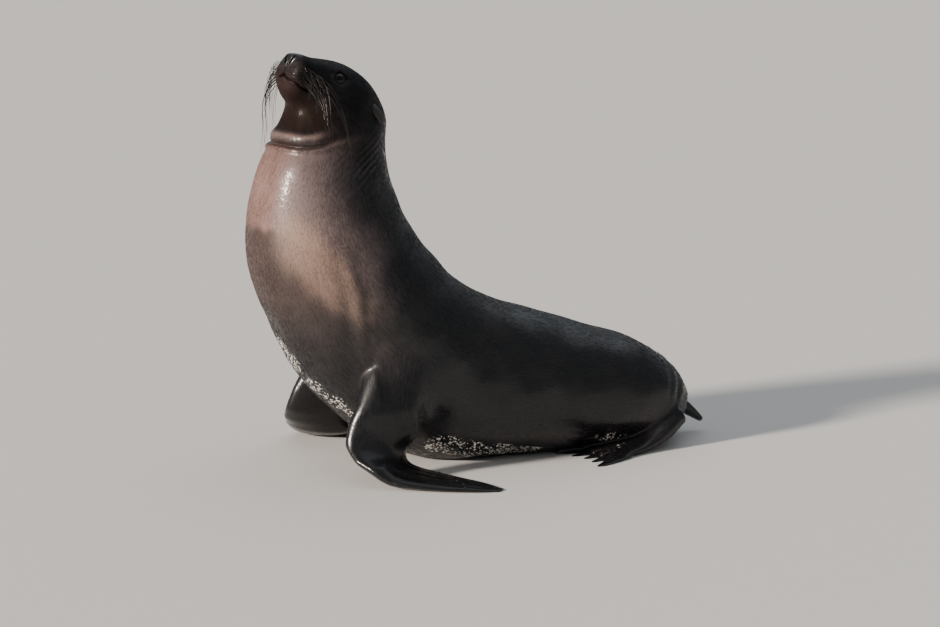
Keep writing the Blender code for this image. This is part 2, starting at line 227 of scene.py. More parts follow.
def united(names):
    """One mesh of the named solids, each swollen a little so that they meet."""
    whole = bmesh.new()
    for name in names:
        piece = bmesh.new()
        piece.from_mesh(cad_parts[name].data)
        bmesh.ops.remove_doubles(piece, verts=piece.verts, dist=WELD)
        piece.normal_update()
        for vert in piece.verts:
            vert.co += vert.normal * SWELL
        swollen = bpy.data.meshes.new(name)
        piece.to_mesh(swollen)
        piece.free()
        whole.from_mesh(swollen)
        bpy.data.meshes.remove(swollen)
    mesh = bpy.data.meshes.new("flesh")
    whole.to_mesh(mesh)
    whole.free()
    return mesh


def evaluated(obj):
    """The object's mesh with its modifiers applied."""
    graph = bpy.context.evaluated_depsgraph_get()
    return bpy.data.meshes.new_from_object(obj.evaluated_get(graph))


def read(values, field, kind, width):
    """One array from a mesh's collection, such as the places of its vertices."""
    found = np.empty(len(values) * width, kind)
    values.foreach_get(field, found)
    return found.reshape(-1, width)


def points_of(mesh):
    """The places of a mesh's vertices."""
    return read(mesh.vertices, "co", np.float32, 3).astype(float)


def edges_of(mesh):
    """The two vertices of each edge."""
    return read(mesh.edges, "vertices", np.int32, 2)


def normals_of(mesh):
    """The way the surface faces at each vertex."""
    return read(mesh.vertex_normals, "vector", np.float32, 3).astype(float)


def place_points(mesh, points):
    """Moves the mesh's vertices to these places."""
    mesh.vertices.foreach_set("co", points.astype(np.float32).ravel())
    mesh.update()


def relaxed(points, edges, share, times):
    """Each point drawn towards the mean of its neighbours by its share, that many times."""
    moving = np.flatnonzero(share > 0)
    number = np.full(len(points), -1)
    number[moving] = np.arange(len(moving))
    ends, others = np.concatenate([edges, edges[:, ::-1]]).T
    kept = number[ends] >= 0
    ends, others = number[ends[kept]], others[kept]
    counts = np.bincount(ends, minlength=len(moving))[:, None]
    shares, points = share[moving, None], points.copy()
    for _ in range(times):
        sums = [np.bincount(ends, points[others, axis], len(moving)) for axis in range(3)]
        points[moving] += shares * (np.stack(sums, axis=1) / counts - points[moving])
    return points


def nearness(points, node, reach):
    """1 at the named solid, and 0 from that reach away from it."""
    low, high = [np.array(corner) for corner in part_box(node)]
    close = np.flatnonzero(((points > low - reach) & (points < high + reach)).all(axis=1))
    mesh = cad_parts[node].data
    solid = BVHTree.FromPolygons(
        [vert.co for vert in mesh.vertices], [face.vertices for face in mesh.polygons]
    )
    near = np.zeros(len(points))
    distances = np.array([solid.find_nearest(point)[3] for point in points[close]])
    near[close] = 1 - smooth_step(0, reach, distances)
    return near


def mound(local, centre, radii):
    """1 at the centre, falling away to each side over its radius."""
    return np.exp(-(((local - np.array(centre)) / np.array(radii)) ** 2).sum(axis=1))


def refined(mesh, chosen):
    """The mesh with each chosen face parted in four."""
    shape = bmesh.new()
    shape.from_mesh(mesh)
    shape.faces.ensure_lookup_table()
    edges = {edge for number in np.flatnonzero(chosen) for edge in shape.faces[number].edges}
    bmesh.ops.subdivide_edges(shape, edges=list(edges), cuts=1, use_grid_fill=True)
    shape.to_mesh(mesh)
    shape.free()
    return mesh


def face_centres(mesh):
    """The middle of each of a mesh's faces."""
    return read(mesh.polygons, "center", np.float32, 3).astype(float)


flesh_nodes = [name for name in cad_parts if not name.startswith(NOT_FLESH)]
skin = bpy.data.objects.new("skin", united(flesh_nodes))
bpy.context.scene.collection.objects.link(skin)
growth = skin.modifiers.new("one_body", "REMESH")
growth.mode = "VOXEL"
growth.voxel_size = VOXEL
skin.data = evaluated(skin)
skin.modifiers.clear()

points = points_of(skin.data)
edges = edges_of(skin.data)
on_head = moved(points, TO_HEAD)
behind, above = on_head[:, 1], on_head[:, 2]
# Down the neck the head's gentler smoothing gives way to the body's
of_neck = np.maximum(smooth_step(*NECK_BEHIND, behind), smooth_step(*NECK_BELOW, above))
of_face = 1 - smooth_step(*FACE_BEHIND, behind)
head_share = SMOOTH_HEAD + (SMOOTH_FACE - SMOOTH_HEAD) * of_face
share = head_share + (SMOOTH_BODY - head_share) * of_neck
for name in SIDES:
    arm = nearness(points, f"fore_arm_{name}", ARM_REACH)
    share += (SMOOTH_ARM - share) * arm
    for limb in ("fore_flipper", "hind_flipper"):
        flipper = nearness(points, f"{limb}_{name}", FLIPPER_REACH)
        share += (SMOOTH_FLIPPER - share) * flipper
tail = nearness(points, "tail", FLIPPER_REACH)
share += (SMOOTH_FLIPPER - share) * tail
points = relaxed(points, edges, share, SMOOTH_TIMES)
# Behind and above, the upper arm lies within the loose hide of the flank. Ahead it stands clear,
# and the fold of the armpit runs in behind it.
flank = np.maximum.reduce([nearness(points, node, WEB_FLANK_REACH) for node in ("chest", "loins")])
for name, side in SIDES.items():
    arm = nearness(points, f"fore_arm_{name}", WEB_ARM_REACH)
    buried = arm * np.maximum(flank, smooth_step(*WEB_TOP, points[:, 2]))
    buried *= smooth_step(*WEB_FOOT, points[:, 2]) * smooth_step(*WEB_FRONT, points[:, 1])
    points = relaxed(points, edges, WEB_SHARE * buried, WEB_TIMES)
    heel = mound(points * (side, 1, 1), *HEEL)
    points = relaxed(points, edges, HEEL_SHARE * heel * (heel > HEEL_LEAST), HEEL_TIMES)
    ahead = 1 - smooth_step(*ARMPIT_FRONT, points[:, 1])
    fold = ARMPIT_SHARE * nearness(points, f"fore_arm_{name}", ARMPIT_REACH) * flank * ahead
    softer = relaxed(points, edges, fold, ARMPIT_TIMES)
    points += ARMPIT_DEEPENING * (points - softer)
place_points(skin.data, points)
points = points - normals_of(skin.data) * (SWELL + COAT_DEPTH)
place_points(skin.data, points)

# The face is worked at a finer grain: the head twice as fine as the body, the muzzle and the
# eyes twice as fine again
HEAD_GRAIN_BACK, HEAD_GRAIN_DROP = 0.235, -0.19
MUZZLE_GRAIN_BACK, MUZZLE_GRAIN_DROP = 0.072, -0.100
# The strip along the lips: how far back it runs, its height and half its breadth
LIP_GRAIN_BACK, LIP_GRAIN_HEIGHT, LIP_GRAIN_HALF = 0.115, -0.038, 0.016
EYE_GRAIN_REACH = 0.030
GRAIN_SHARE, GRAIN_TIMES = 0.35, 8
EYES = {name: np.array(middle_of(f"eye_{name}")) for name in SIDES}


def is_head(centres):
    """Whether each place is on the head."""
    local = moved(centres, TO_HEAD)
    return (local[:, 1] < HEAD_GRAIN_BACK) & (local[:, 2] > HEAD_GRAIN_DROP)


def is_fine_face(centres):
    """Whether each place is on the muzzle, along the lips or round an eye."""
    local = moved(centres, TO_HEAD)
    off_lips = np.abs(local[:, 2] - LIP_GRAIN_HEIGHT)
    chosen = (local[:, 1] < MUZZLE_GRAIN_BACK) & (local[:, 2] > MUZZLE_GRAIN_DROP)
    chosen |= (local[:, 1] < LIP_GRAIN_BACK) & (off_lips < LIP_GRAIN_HALF)
    for eye in EYES.values():
        chosen |= np.linalg.norm(centres - eye, axis=1) < EYE_GRAIN_REACH
    return chosen


for region in (is_head, is_fine_face):
    refined(skin.data, region(face_centres(skin.data)))
    points = points_of(skin.data)
    share = GRAIN_SHARE * region(points)
    place_points(skin.data, relaxed(points, edges_of(skin.data), share, GRAIN_TIMES))


# ---------------------------------------------------------------------------------------------
# The face worked into the skin: puffed whisker pads, two slit nostrils, the groove below them,
# the mouth line with its lips, and a thick lid round each eye.

# The whisker pad: its middle and radii in the head's frame, and its height
PAD, PAD_HEIGHT = ((0.0250, 0.020, -0.0260), (0.0170, 0.020, 0.0150)), 0.0035
# Where whiskers may grow: how far back, at what height, half the depth, how far off the middle
ROOTS_BACK, ROOTS_HEIGHT, ROOTS_HALF, ROOTS_OFF_MIDDLE = 0.065, -0.025, 0.035, 0.008
# The front of the snout ends between these, behind the nose tip
SNOUT_FRONT = (0.016, 0.024)
NOSTRIL_LOW, NOSTRIL_HIGH = (0.0080, -0.0110), (0.0150, 0.0055)
NOSTRIL_WIDTH, NOSTRIL_DEPTH = 0.0019, 0.0090
# The wing round each slit: how high it stands, how far out, and its width
WING_HEIGHT, WING_OUT, WING_WIDTH = 0.0012, 0.0042, 0.0022
GROOVE_WIDTH, GROOVE_DEPTH = 0.0016, 0.0028
GROOVE_FOOT, GROOVE_TOP = (-0.044, -0.038), (-0.014, -0.008)
MOUTH_LINE = (
    (-0.02, -0.0410),
    (0.018, -0.0424),
    (0.034, -0.0470),
    (0.055, -0.0450),
    (0.075, -0.0390),
    (0.098, -0.0330),
    (0.13, -0.0280),
)
MOUTH_WIDTH, MOUTH_DEPTH = 0.0014, 0.0050
MOUTH_CORNER, MOUTH_FADE, UNDER_JAW = 0.088, 0.045, (-0.12, -0.10)
# In front the upper lip arches up below the nose, and the mouth stands a little open under it
MOUTH_ARCH, MOUTH_ARCH_WIDTH = 0.0070, 0.0115
MOUTH_GAPE, MOUTH_GAPE_DEPTH = 0.0016, 0.004
# The lips' rolls and the crease of the chin: height, place above the mouth line, and width
LIP_ROLLS = ((0.0018, 0.0060, 0.0045), (0.0012, -0.0050, 0.0030))
CHIN_CREASE = (-0.0016, -0.0120, 0.0050)
# The eyeball, and how much deeper than its solid it lies
EYE_RADIUS, EYE_DEPTH = 0.0155, 0.0030
LID_THICKNESS, LID_EDGE, SOCKET_DEPTH = 0.0013, 0.0006, 0.004
# Half the opening's length and height, and the power that draws its ends to points
LID_LENGTH, LID_HEIGHT, LID_POINT = 0.0150, 0.0076, 1.6
LID_TILT = math.radians(14)
# Round each eye, ring 1 is the edge of the opening and ring 2 lies twice as far out
LID_RINGS, LID_BALLS, LID_END, NO_RING = (1.2, 2.4), (1.3, 1.95), 2.6, 9.0
CREASE_DEPTH, CREASE_RING, CREASE_WIDTH, CREASE_ABOVE = 0.0010, 1.6, 0.13, (-0.004, 0.006)
# Where each eye looks, in the head's frame: out, ahead and a little up
GAZE = (0.86, -0.50, 0.12)
# The rows of whisker roots on each pad: where the first is behind and above the nose's tip, and
# the steps from column to column and from row to row
WHISKER_ROWS, WHISKER_COLUMNS = 6, 7
WHISKER_FIRST, WHISKER_STEP = (0.010, -0.010), (0.0062, -0.0062)
# Every other row is set back by part of a step, and no root stands quite in line
WHISKER_SET_BACK, WHISKER_STRAY = 0.4, 0.0006
FOLLICLE_WIDTH, FOLLICLE_RISE = 0.0013, 0.0005


def bell(values, middle, width):
    """1 at the middle, falling away to each side over the width."""
    return np.exp(-(((values - middle) / width) ** 2))


def folded_over(points):
    """The points with her right half laid over the left."""
    return np.abs(points * (1, 0, 0)) + points * (0, 1, 1)


def unit(vector):
    """The vector at a length of 1."""
    return np.array(vector) / np.linalg.norm(vector)


def gaze_of(side):
    """The way one eye looks."""
    return unit(HEAD[:3, :3] @ unit((side * GAZE[0], GAZE[1], GAZE[2])))


def to_segment(points, start, end):
    """Each point's distance from a line between two places."""
    start, end = np.array(start), np.array(end)
    line = end - start
    share = np.clip((points - start) @ line / (line @ line), 0, 1)
    return np.linalg.norm(points - start - share[:, None] * line, axis=1)


def follicles():
    """Each whisker's place behind and above the nose, and its share of the way back and down."""
    for row in range(WHISKER_ROWS):
        for column in range(WHISKER_COLUMNS - row // 3):
            back, low = column / (WHISKER_COLUMNS - 1), row / (WHISKER_ROWS - 1)
            behind = WHISKER_FIRST[0] + WHISKER_STEP[0] * (column + WHISKER_SET_BACK * (row % 2))
            above = WHISKER_FIRST[1] + WHISKER_STEP[1] * row * (0.75 + 0.25 * back)
            yield behind + WHISKER_STRAY * math.sin(5 * row + 3 * column), above, back, low


points, normals = points_of(skin.data), normals_of(skin.data)
local = moved(points, TO_HEAD)
mirrored = folded_over(local)
off_middle, behind, above = mirrored[:, 0], local[:, 1], local[:, 2]
at_front = 1 - smooth_step(*SNOUT_FRONT, behind)

lift = PAD_HEIGHT * mound(mirrored, *PAD)
# Each whisker grows from a small swelling
has_roots = (behind < ROOTS_BACK) & (np.abs(above - ROOTS_HEIGHT) < ROOTS_HALF)
has_roots &= off_middle > ROOTS_OFF_MIDDLE
pad_places = local[has_roots][:, 1:]
follicle = np.zeros(len(points))
for *root, _, _ in follicles():
    spot = mound(pad_places, root, FOLLICLE_WIDTH)
    follicle[has_roots] = np.maximum(follicle[has_roots], spot)
lift += FOLLICLE_RISE * follicle
# Each nostril's wing stands out a little round its slit
slit = to_segment(mirrored[:, [0, 2]], NOSTRIL_LOW, NOSTRIL_HIGH)
lift += WING_HEIGHT * bell(slit, WING_OUT, WING_WIDTH) * at_front
groove = bell(local[:, 0], 0, GROOVE_WIDTH)
groove *= smooth_step(*GROOVE_FOOT, above) * (1 - smooth_step(*GROOVE_TOP, above))
lift -= GROOVE_DEPTH * groove * at_front
# The mouth line, with the upper lip over it and the lower lip tucked under
arch = bell(local[:, 0], 0, MOUTH_ARCH_WIDTH) * at_front
mouth = np.interp(behind, *np.transpose(MOUTH_LINE)) + MOUTH_ARCH * arch
drop = above - mouth
of_mouth = 1 - smooth_step(MOUTH_CORNER - MOUTH_FADE, MOUTH_CORNER, behind)
of_mouth *= smooth_step(*UNDER_JAW, above)
gape = MOUTH_WIDTH + MOUTH_GAPE * arch
lift -= (MOUTH_DEPTH + MOUTH_GAPE_DEPTH * arch) * bell(drop, 0, gape) * of_mouth
for height, over_line, width in LIP_ROLLS:
    lift += height * bell(drop, over_line, width) * of_mouth
lift += CHIN_CREASE[0] * bell(drop, *CHIN_CREASE[1:]) * of_mouth * at_front
points = points + normals * lift[:, None]
# The slits run straight back into the nose
depth = NOSTRIL_DEPTH * np.exp(-((slit / NOSTRIL_WIDTH) ** 4)) * at_front
points = points + depth[:, None] * HEAD[:3, 1]

# Lids: the skin is drawn to just over each eyeball, and through the opening it dips behind it
lid_ring = np.full(len(points), NO_RING)
for name, side in SIDES.items():
    gaze = gaze_of(side)
    EYES[name] = EYES[name] - gaze * EYE_DEPTH
    upward = unit(HEAD[:3, 2] - gaze * (gaze @ HEAD[:3, 2]))
    rearward = np.cross(upward, gaze) * side
    long_way = math.cos(LID_TILT) * rearward + math.sin(LID_TILT) * upward
    high_way = math.cos(LID_TILT) * upward - math.sin(LID_TILT) * rearward
    offset = points - EYES[name]
    far = np.linalg.norm(offset, axis=1)
    along, across, out = offset @ long_way, offset @ high_way, offset @ gaze
    ring = np.sqrt(np.abs(along / LID_LENGTH) ** LID_POINT + (across / LID_HEIGHT) ** 2)
    ring = np.where(out > 0, ring, NO_RING)
    lid_ring = np.minimum(lid_ring, ring)
    rim = EYE_RADIUS + LID_THICKNESS
    hold = (1 - smooth_step(*LID_RINGS, ring)) * (1 - smooth_step(*LID_BALLS, far / EYE_RADIUS))
    wanted = far + (rim - far) * hold
    crease = CREASE_DEPTH * bell(ring, CREASE_RING, CREASE_WIDTH) * smooth_step(*CREASE_ABOVE, across)
    wanted = np.maximum(np.where(ring < LID_END, wanted - crease, far), rim - LID_EDGE)
    wanted = np.where(ring < 1, EYE_RADIUS - SOCKET_DEPTH, wanted)
    wanted = np.where(far < 2 * EYE_RADIUS, wanted, far)
    points = EYES[name] + offset * (wanted / far)[:, None]
place_points(skin.data, points)


# ---------------------------------------------------------------------------------------------
# The lie of the coat. Hair runs from the nose to the tail along the body, and down each limb to
# its toes. Every point of the skin is placed beside one of these lines: how far along it, and at
# what angle round it, 0 being the under side.

HEAD_LINE = ((0.0, 0.004, -0.012), (0.0, 0.060, -0.024), (0.0, 0.120, -0.032), (0.0, 0.185, -0.052))
BODY_LINE = (
    (-0.312, 0.615),
    (-0.314, 0.540),
    (-0.300, 0.455),
    (-0.268, 0.370),
    (-0.212, 0.285),
    (-0.130, 0.205),
    (-0.030, 0.160),
    (0.100, 0.140),
    (0.230, 0.125),
    (0.340, 0.110),
    (0.420, 0.094),
    (0.482, 0.074),
)
ARM_LINE = (
    (0.080, -0.196, 0.262),
    (0.140, -0.206, 0.222),
    (0.168, -0.224, 0.168),
    (0.180, -0.243, 0.115),
    (0.187, -0.258, 0.065),
    (0.204, -0.248, 0.030),
)
HAND_ROOT, HAND_LENGTH = (0.192, -0.262), 0.262
HAND_SWEEP = {"left": math.radians(50), "right": math.radians(40)}
HAND_LEAD = {"left": 0.0, "right": 0.018}
# The line of the hand: its height at the wrist, how far it sinks, and places along it
HAND_HEIGHT, HAND_SINK, HAND_SHARES = 0.010, 0.007, (0.4, 0.7, 1)
ANKLE, FOOT_LENGTH = (0.098, 0.398), 0.240
FOOT_SPLAY = {"left": math.radians(17), "right": math.radians(22)}
FOOT_HEIGHT, FOOT_SINK, FOOT_SHARES = 0.045, 0.040, (-0.15, 0.1, 0.35, 0.7, 1.1)
TAIL_LINE = ((0.0, 0.440, 0.088), (0.0, 0.480, 0.064), (0.0, 0.510, 0.042), (0.0, 0.532, 0.025))
LINE_STEPS = 32
# How far round its solids a limb's own lie reaches
LIE_REACH = 0.022


def curve_through(places, steps):
    """Points on a smooth curve through the places, that many to each stretch."""
    places = np.array(places, float)
    ends = [2 * places[0] - places[1]], [2 * places[-1] - places[-2]]
    padded = np.vstack([ends[0], places, ends[1]])
    u = np.arange(steps)[:, None] / steps
    runs = []
    for a, b, c, d in zip(padded, padded[1:], padded[2:], padded[3:]):
        bend = (2 * a - 5 * b + 4 * c - d) * u**2 + (3 * b - a - 3 * c + d) * u**3
        runs.append(b + ((c - a) * u + bend) / 2)
    return np.vstack([*runs, places[-1:]])


def nearest_of(points, places):
    """For each point, the number of the nearest place."""
    parts = np.array_split(points, len(points) // 20000 + 1)
    own = (places**2).sum(axis=1)
    return np.concatenate([(own - 2 * part @ places.T).argmin(axis=1) for part in parts])


def beside(points, line, aside):
    """How far along the line each point lies, the angle round it, and the way the line runs.

    The angle is 0 below and grows towards aside, a direction given for the whole line or for each
    of its places.
    """
    places = curve_through(line, LINE_STEPS)
    lengths = np.concatenate([[0], np.cumsum(np.linalg.norm(np.diff(places, axis=0), axis=1))])
    ways = np.gradient(places, lengths, axis=0)
    ways /= np.linalg.norm(ways, axis=1)[:, None]
    asides = curve_through(np.broadcast_to(aside, (len(line), 3)), LINE_STEPS)
    asides = asides - ways * (asides * ways).sum(axis=1)[:, None]
    asides /= np.linalg.norm(asides, axis=1)[:, None]
    near = nearest_of(points, places)
    way, side = ways[near], asides[near]
    offset = points - places[near]
    slip = (offset * way).sum(axis=1)
    up = np.cross(side, way)
    angle = np.arctan2((offset * side).sum(axis=1), -(offset * up).sum(axis=1))
    return lengths[near] + slip, angle, way


def hand_axes(name):
    """The wrist, the way the fore flipper points, and the way to its rear edge, on the floor."""
    side, sweep = SIDES[name], HAND_SWEEP[name]
    wrist = np.array((side * HAND_ROOT[0], HAND_ROOT[1] - HAND_LEAD[name], 0))
    outward = np.array((side * math.cos(sweep), math.sin(sweep), 0))
    trailing = np.array((-side * math.sin(sweep), math.cos(sweep), 0))
    return wrist, outward, trailing


def foot_axes(name):
    """The ankle, the way the hind flipper points, and the way across it, on the floor."""
    side, splay = SIDES[name], FOOT_SPLAY[name]
    ankle = np.array((side * ANKLE[0], ANKLE[1], 0))
    forward = np.array((side * math.sin(splay), -math.cos(splay), 0))
    across = np.array((side * math.cos(splay), math.sin(splay), 0))
    return ankle, forward, across


def limb_lines(name):
    """The limb lines of one side, and the direction that the angle round each grows towards."""
    side, lead, last = SIDES[name], HAND_LEAD[name], len(ARM_LINE) - 1
    wrist, outward, _ = hand_axes(name)
    ankle, forward, _ = foot_axes(name)
    arm = [np.array(place) * (side, 1, 1) - (0, lead * i / last, 0) for i, place in enumerate(ARM_LINE)]
    hand, foot = [], []
    for share in HAND_SHARES:
        place = wrist + (0, 0, HAND_HEIGHT) + outward * HAND_LENGTH * share
        hand.append(place - (0, 0, HAND_SINK * share))
    for share in FOOT_SHARES:
        place = ankle + (0, 0, FOOT_HEIGHT) + forward * FOOT_LENGTH * share
        foot.append(place - (0, 0, FOOT_SINK * min(1, 3 * share)))
    return {
        f"fore_{name}": (arm + hand, (0, 1, 0)),
        f"hind_{name}": (foot, (side, 0, 0)),
    }


head_line = moved(np.array(HEAD_LINE), HEAD)
body_line = np.array([(0, *place) for place in BODY_LINE])
spine = np.vstack([head_line, body_line])
spine_aside = np.array([HEAD[:3, 0]] * (len(head_line) + 1) + [(1, 0, 0)] * (len(body_line) - 1))
LIMB_NODES = {
    "fore_left": ("fore_arm_left", "fore_flipper_left"),
    "fore_right": ("fore_arm_right", "fore_flipper_right"),
    "hind_left": ("hind_flipper_left",),
    "hind_right": ("hind_flipper_right",),
    "tail": ("tail",),
}
limb_charts = {**limb_lines("left"), **limb_lines("right"), "tail": (TAIL_LINE, (1, 0, 0))}

points = points_of(skin.data)
along, angle, lie_way = beside(points, spine, spine_aside)
of_limb = {}
limb_place = {}
for limb, nodes in LIMB_NODES.items():
    near = np.maximum.reduce([nearness(points, node, LIE_REACH) for node in nodes])
    limb_along, limb_angle, limb_way = beside(points, *limb_charts[limb])
    of_limb[limb] = near
    limb_place[limb] = (limb_along, limb_angle)
    lie_way = lie_way + (limb_way - lie_way) * near[:, None]


# ---------------------------------------------------------------------------------------------
# The folds of the neck, armpits and rump, and the bones of the flippers, worked into the skin. The
# hide is loose over fat, so it gathers where the head is raised and where the hind end is drawn in.

# Half of the fold under the throat, from the middle out to the left, in the head's frame
THROAT_FOLD = (
    (0.000, 0.070, -0.160),
    (0.040, 0.076, -0.157),
    (0.069, 0.092, -0.148),
    (0.088, 0.110, -0.133),
    (0.0975, 0.130, -0.111),
    (0.099, 0.155, -0.085),
)
# How the throat is shaped about the fold: height, place above the fold, and width
THROAT_RELIEF = ((-0.0060, 0.0, 0.0042), (0.0050, 0.018, 0.011), (0.0026, -0.0085, 0.0055))
# What the markings need of it: the crease, the painted shade in it, and the roll of fat over it with its
# painted light, as place and width
CREASED, FOLD_SHADE, LIT_ROLL = (0.0, 0.013), (0.001, 0.0042), (0.017, 0.010)
FOLD_STEPS, FOLD_UPWARD, FOLD_FADING = 12, (0, -0.35, 0.94), (0.50, 0.98)
THROAT_TOP, THROAT_FOOT, THROAT_BACK = -0.05, -0.24, 0.2
NECK_FOLDS = ((0.104, 0.205, -0.115), (0.050, 0.045, 0.075))
NECK_FOLD_WAY = (0.0, 0.93, -0.36)
NECK_FOLD_PITCH, NECK_FOLD_HEIGHT = 0.0115, 0.0006
RUMP_FOLD_PITCH, RUMP_FOLD_HEIGHT, RUMP_START = 0.024, 0.0010, (0.375, 0.43)
# The front edge of the shoulder, from the side of the neck down to the armpit
SHOULDER_EDGE = (
    (0.150, -0.325, 0.480),
    (0.164, -0.309, 0.411),
    (0.168, -0.298, 0.370),
    (0.166, -0.290, 0.300),
    (0.161, -0.282, 0.240),
)
SHOULDER_RISE, SHOULDER_BREADTH, SHOULDER_STEPS = 0.0045, 0.012, 8
# The hollow beside it: how far in and back, and its share of the rise
SHOULDER_HOLLOW, HOLLOW_SHARE = (0.012, 0.022, 0), 0.6
# The soft swells of fat and muscle: height, length, and the way and start of each of three waves
SWELL_HEIGHT, SWELL_LENGTH, SWELL_START = 0.0010, 0.075, (0.16, 0.28)
SWELL_WAVES = (((1, 0.4, 0.2), 0.3), ((-0.3, 1, 0.5), 1.9), ((0.2, -0.5, 1), 4.0))
# The fingers under the fore flipper's hide, as shares of half its breadth, and that half breadth
# at distances from the wrist
DIGITS = (-0.80, -0.38, -0.02, 0.34, 0.66)
DIGIT_HEIGHT, DIGIT_WIDTH = 0.0022, 0.13
HAND_BREADTH = ((0, 0.09, 0.19, 0.235, 0.262), (0.076, 0.072, 0.048, 0.030, 0.012))
HAND_TOP, DIGIT_START, DIGIT_END = (0.2, 0.7), (0.015, 0.07), (0.20, 0.255)
# What lies on the floor touches it, with this little under it
FLOOR_EASE, FLOOR_GAP = 0.010, 0.0002


def waves(values, pitch, wander):
    """Rounded folds at that pitch, which wander by that part of it."""
    return np.sin(2 * math.pi * values / pitch + wander)


points, normals = points_of(skin.data), normals_of(skin.data)
local = moved(points, TO_HEAD)
mirrored = folded_over(local)
lift = np.zeros(len(points))

fold = curve_through(THROAT_FOLD, FOLD_STEPS)
on_throat = (local[:, 2] < THROAT_TOP) & (local[:, 2] > THROAT_FOOT) & (local[:, 1] < THROAT_BACK)
close = np.flatnonzero(on_throat)
near = nearest_of(mirrored[close], fold)
rise = (mirrored[close] - fold[near]) @ unit(FOLD_UPWARD)
fading = 1 - smooth_step(*FOLD_FADING, near / len(fold))
for height, over_fold, width in THROAT_RELIEF:
    lift[close] += height * bell(rise, over_fold, width) * fading
creased, fold_shade, lit_roll = np.zeros((3, len(points)))
for values, place in ((creased, CREASED), (fold_shade, FOLD_SHADE), (lit_roll, LIT_ROLL)):
    values[close] = bell(rise, *place) * fading

# The creases of the neck and rump wander, by waves of unlike lengths
wander = 1.5 * np.sin(mirrored[:, 0] * 55) + 1.1 * np.sin(local[:, 2] * 47 + 1.0)
across_neck = mirrored @ unit(NECK_FOLD_WAY)
lift += NECK_FOLD_HEIGHT * waves(across_neck, NECK_FOLD_PITCH, wander) * mound(mirrored, *NECK_FOLDS)

body_only = 1 - np.maximum.reduce(list(of_limb.values()))
swell = sum(waves(points @ unit(way), SWELL_LENGTH, start) for way, start in SWELL_WAVES)
lift += SWELL_HEIGHT * swell / 2 * body_only * smooth_step(*SWELL_START, local[:, 1])
both_sides = folded_over(points)
edge = curve_through(SHOULDER_EDGE, SHOULDER_STEPS)
near = nearest_of(both_sides, edge)
off_edge = both_sides - edge[near]
ends = np.sin(math.pi * near / len(edge))
ridge = bell(np.linalg.norm(off_edge, axis=1), 0, SHOULDER_BREADTH)
hollow = bell(np.linalg.norm(off_edge + SHOULDER_HOLLOW, axis=1), 0, SHOULDER_BREADTH)
lift += SHOULDER_RISE * (ridge - HOLLOW_SHARE * hollow) * ends
of_rump = smooth_step(*RUMP_START, points[:, 1]) * body_only
wander = 1.3 * np.sin(angle * 2.3 + 0.5) + 0.7 * np.sin(angle * 5.1)
depth = 0.6 + 0.4 * np.sin(angle * 1.7 + 22 * along)
lift += RUMP_FOLD_HEIGHT * waves(along, RUMP_FOLD_PITCH, wander) * of_rump * depth

for name in SIDES:
    wrist, outward, trailing = hand_axes(name)
    out, back = (points - wrist) @ outward, (points - wrist) @ trailing
    half_breadth = np.interp(out, *HAND_BREADTH)
    on_top = smooth_step(*HAND_TOP, normals[:, 2]) * of_limb[f"fore_{name}"]
    on_fingers = smooth_step(*DIGIT_START, out) * (1 - smooth_step(*DIGIT_END, out))
    for digit in DIGITS:
        lift += DIGIT_HEIGHT * bell(back / half_breadth, digit, DIGIT_WIDTH) * on_top * on_fingers
points = points + normals * lift[:, None]
place_points(skin.data, points)

points = points_of(skin.data)
points[:, 2] -= (COAT_DEPTH + SWELL) * np.exp(-points[:, 2].clip(0) / FLOOR_EASE)
points[:, 2] = points[:, 2].clip(FLOOR_GAP)
place_points(skin.data, points)
skin.data.shade_smooth()


# ---------------------------------------------------------------------------------------------
# The markings: a dark coat, brown on the throat and chest, with black naked skin on the flippers
# and the nose pad, paler whisker pads, brown lips, and sand caught on the wet chest and belly.
# Each is a value at every point of the skin, which the coat takes over at its roots.

# Brown begins at the fold of the throat, which climbs this much to the length towards the ears,
# first faintly and then in full: share, and where it starts and is whole
FOLD_CLIMB, FOLD_AHEAD = 0.88, 0.07
BROWN_STARTS = ((0.2, (-0.118, -0.140)), (0.8, (-0.150, -0.170)))
# It thins out round the side between two angles, in degrees from the middle of the chest, which
# change with height, and down and back over the chest
BROWN_HEIGHTS, BROWN_FULL, BROWN_GONE = (0.40, 0.50, 0.62), (34, 44, -6), (172, 165, 118)
BROWN_FOOT, BROWN_BACK = (0.10, 0.56), (-0.27, -0.16)
# How much the roll of fat, painted as a lit warm band, takes or loses of each: brown, tan, rosy, dark
# throat with its painted shade, thick fur
ROLL_BROWN, ROLL_TAN, ROLL_ROSY, ROLL_LOSES_SHADE, ROLL_TRAP = 0.58, 0.5, 0.7, 0.85, 0.8
# Where the naked skin begins down the arm and the foot, and the flank beside the arm, which is furred
BARE_ARM, BARE_FOOT = (0.21, 0.29), (0.05, 0.12)
FLANK_BEHIND, FLANK_ABOVE = (-0.215, -0.190), (0.045, 0.065)
NOSE_BACK, NOSE_HALF, NOSE_FOOT = (0.011, 0.015), (0.020, 0.027), (-0.022, -0.014)
LID_RIM = (1.45, 1.15)
# The throat under the chin: dark fur with painted shade over it, as middle and radii
DARK_SHADED_THROAT = ((0.0, 0.070, -0.102), (0.100, 0.085, 0.050))
THICK_THROAT = ((0.0, 0.065, -0.092), (0.100, 0.080, 0.048))
THROAT_GAIN, HEAD_TRAP = 1.6, 0.80
FUR_BACK, FUR_BELOW = (0.16, 0.30), (-0.16, -0.10)
PALE_PAD = ((0.024, 0.014, -0.020), (0.017, 0.016, 0.016))
LIPS, LIPS_BACK = ((0.0, 0.024, -0.050), (0.045, 0.030, 0.024)), (0.05, 0.1)
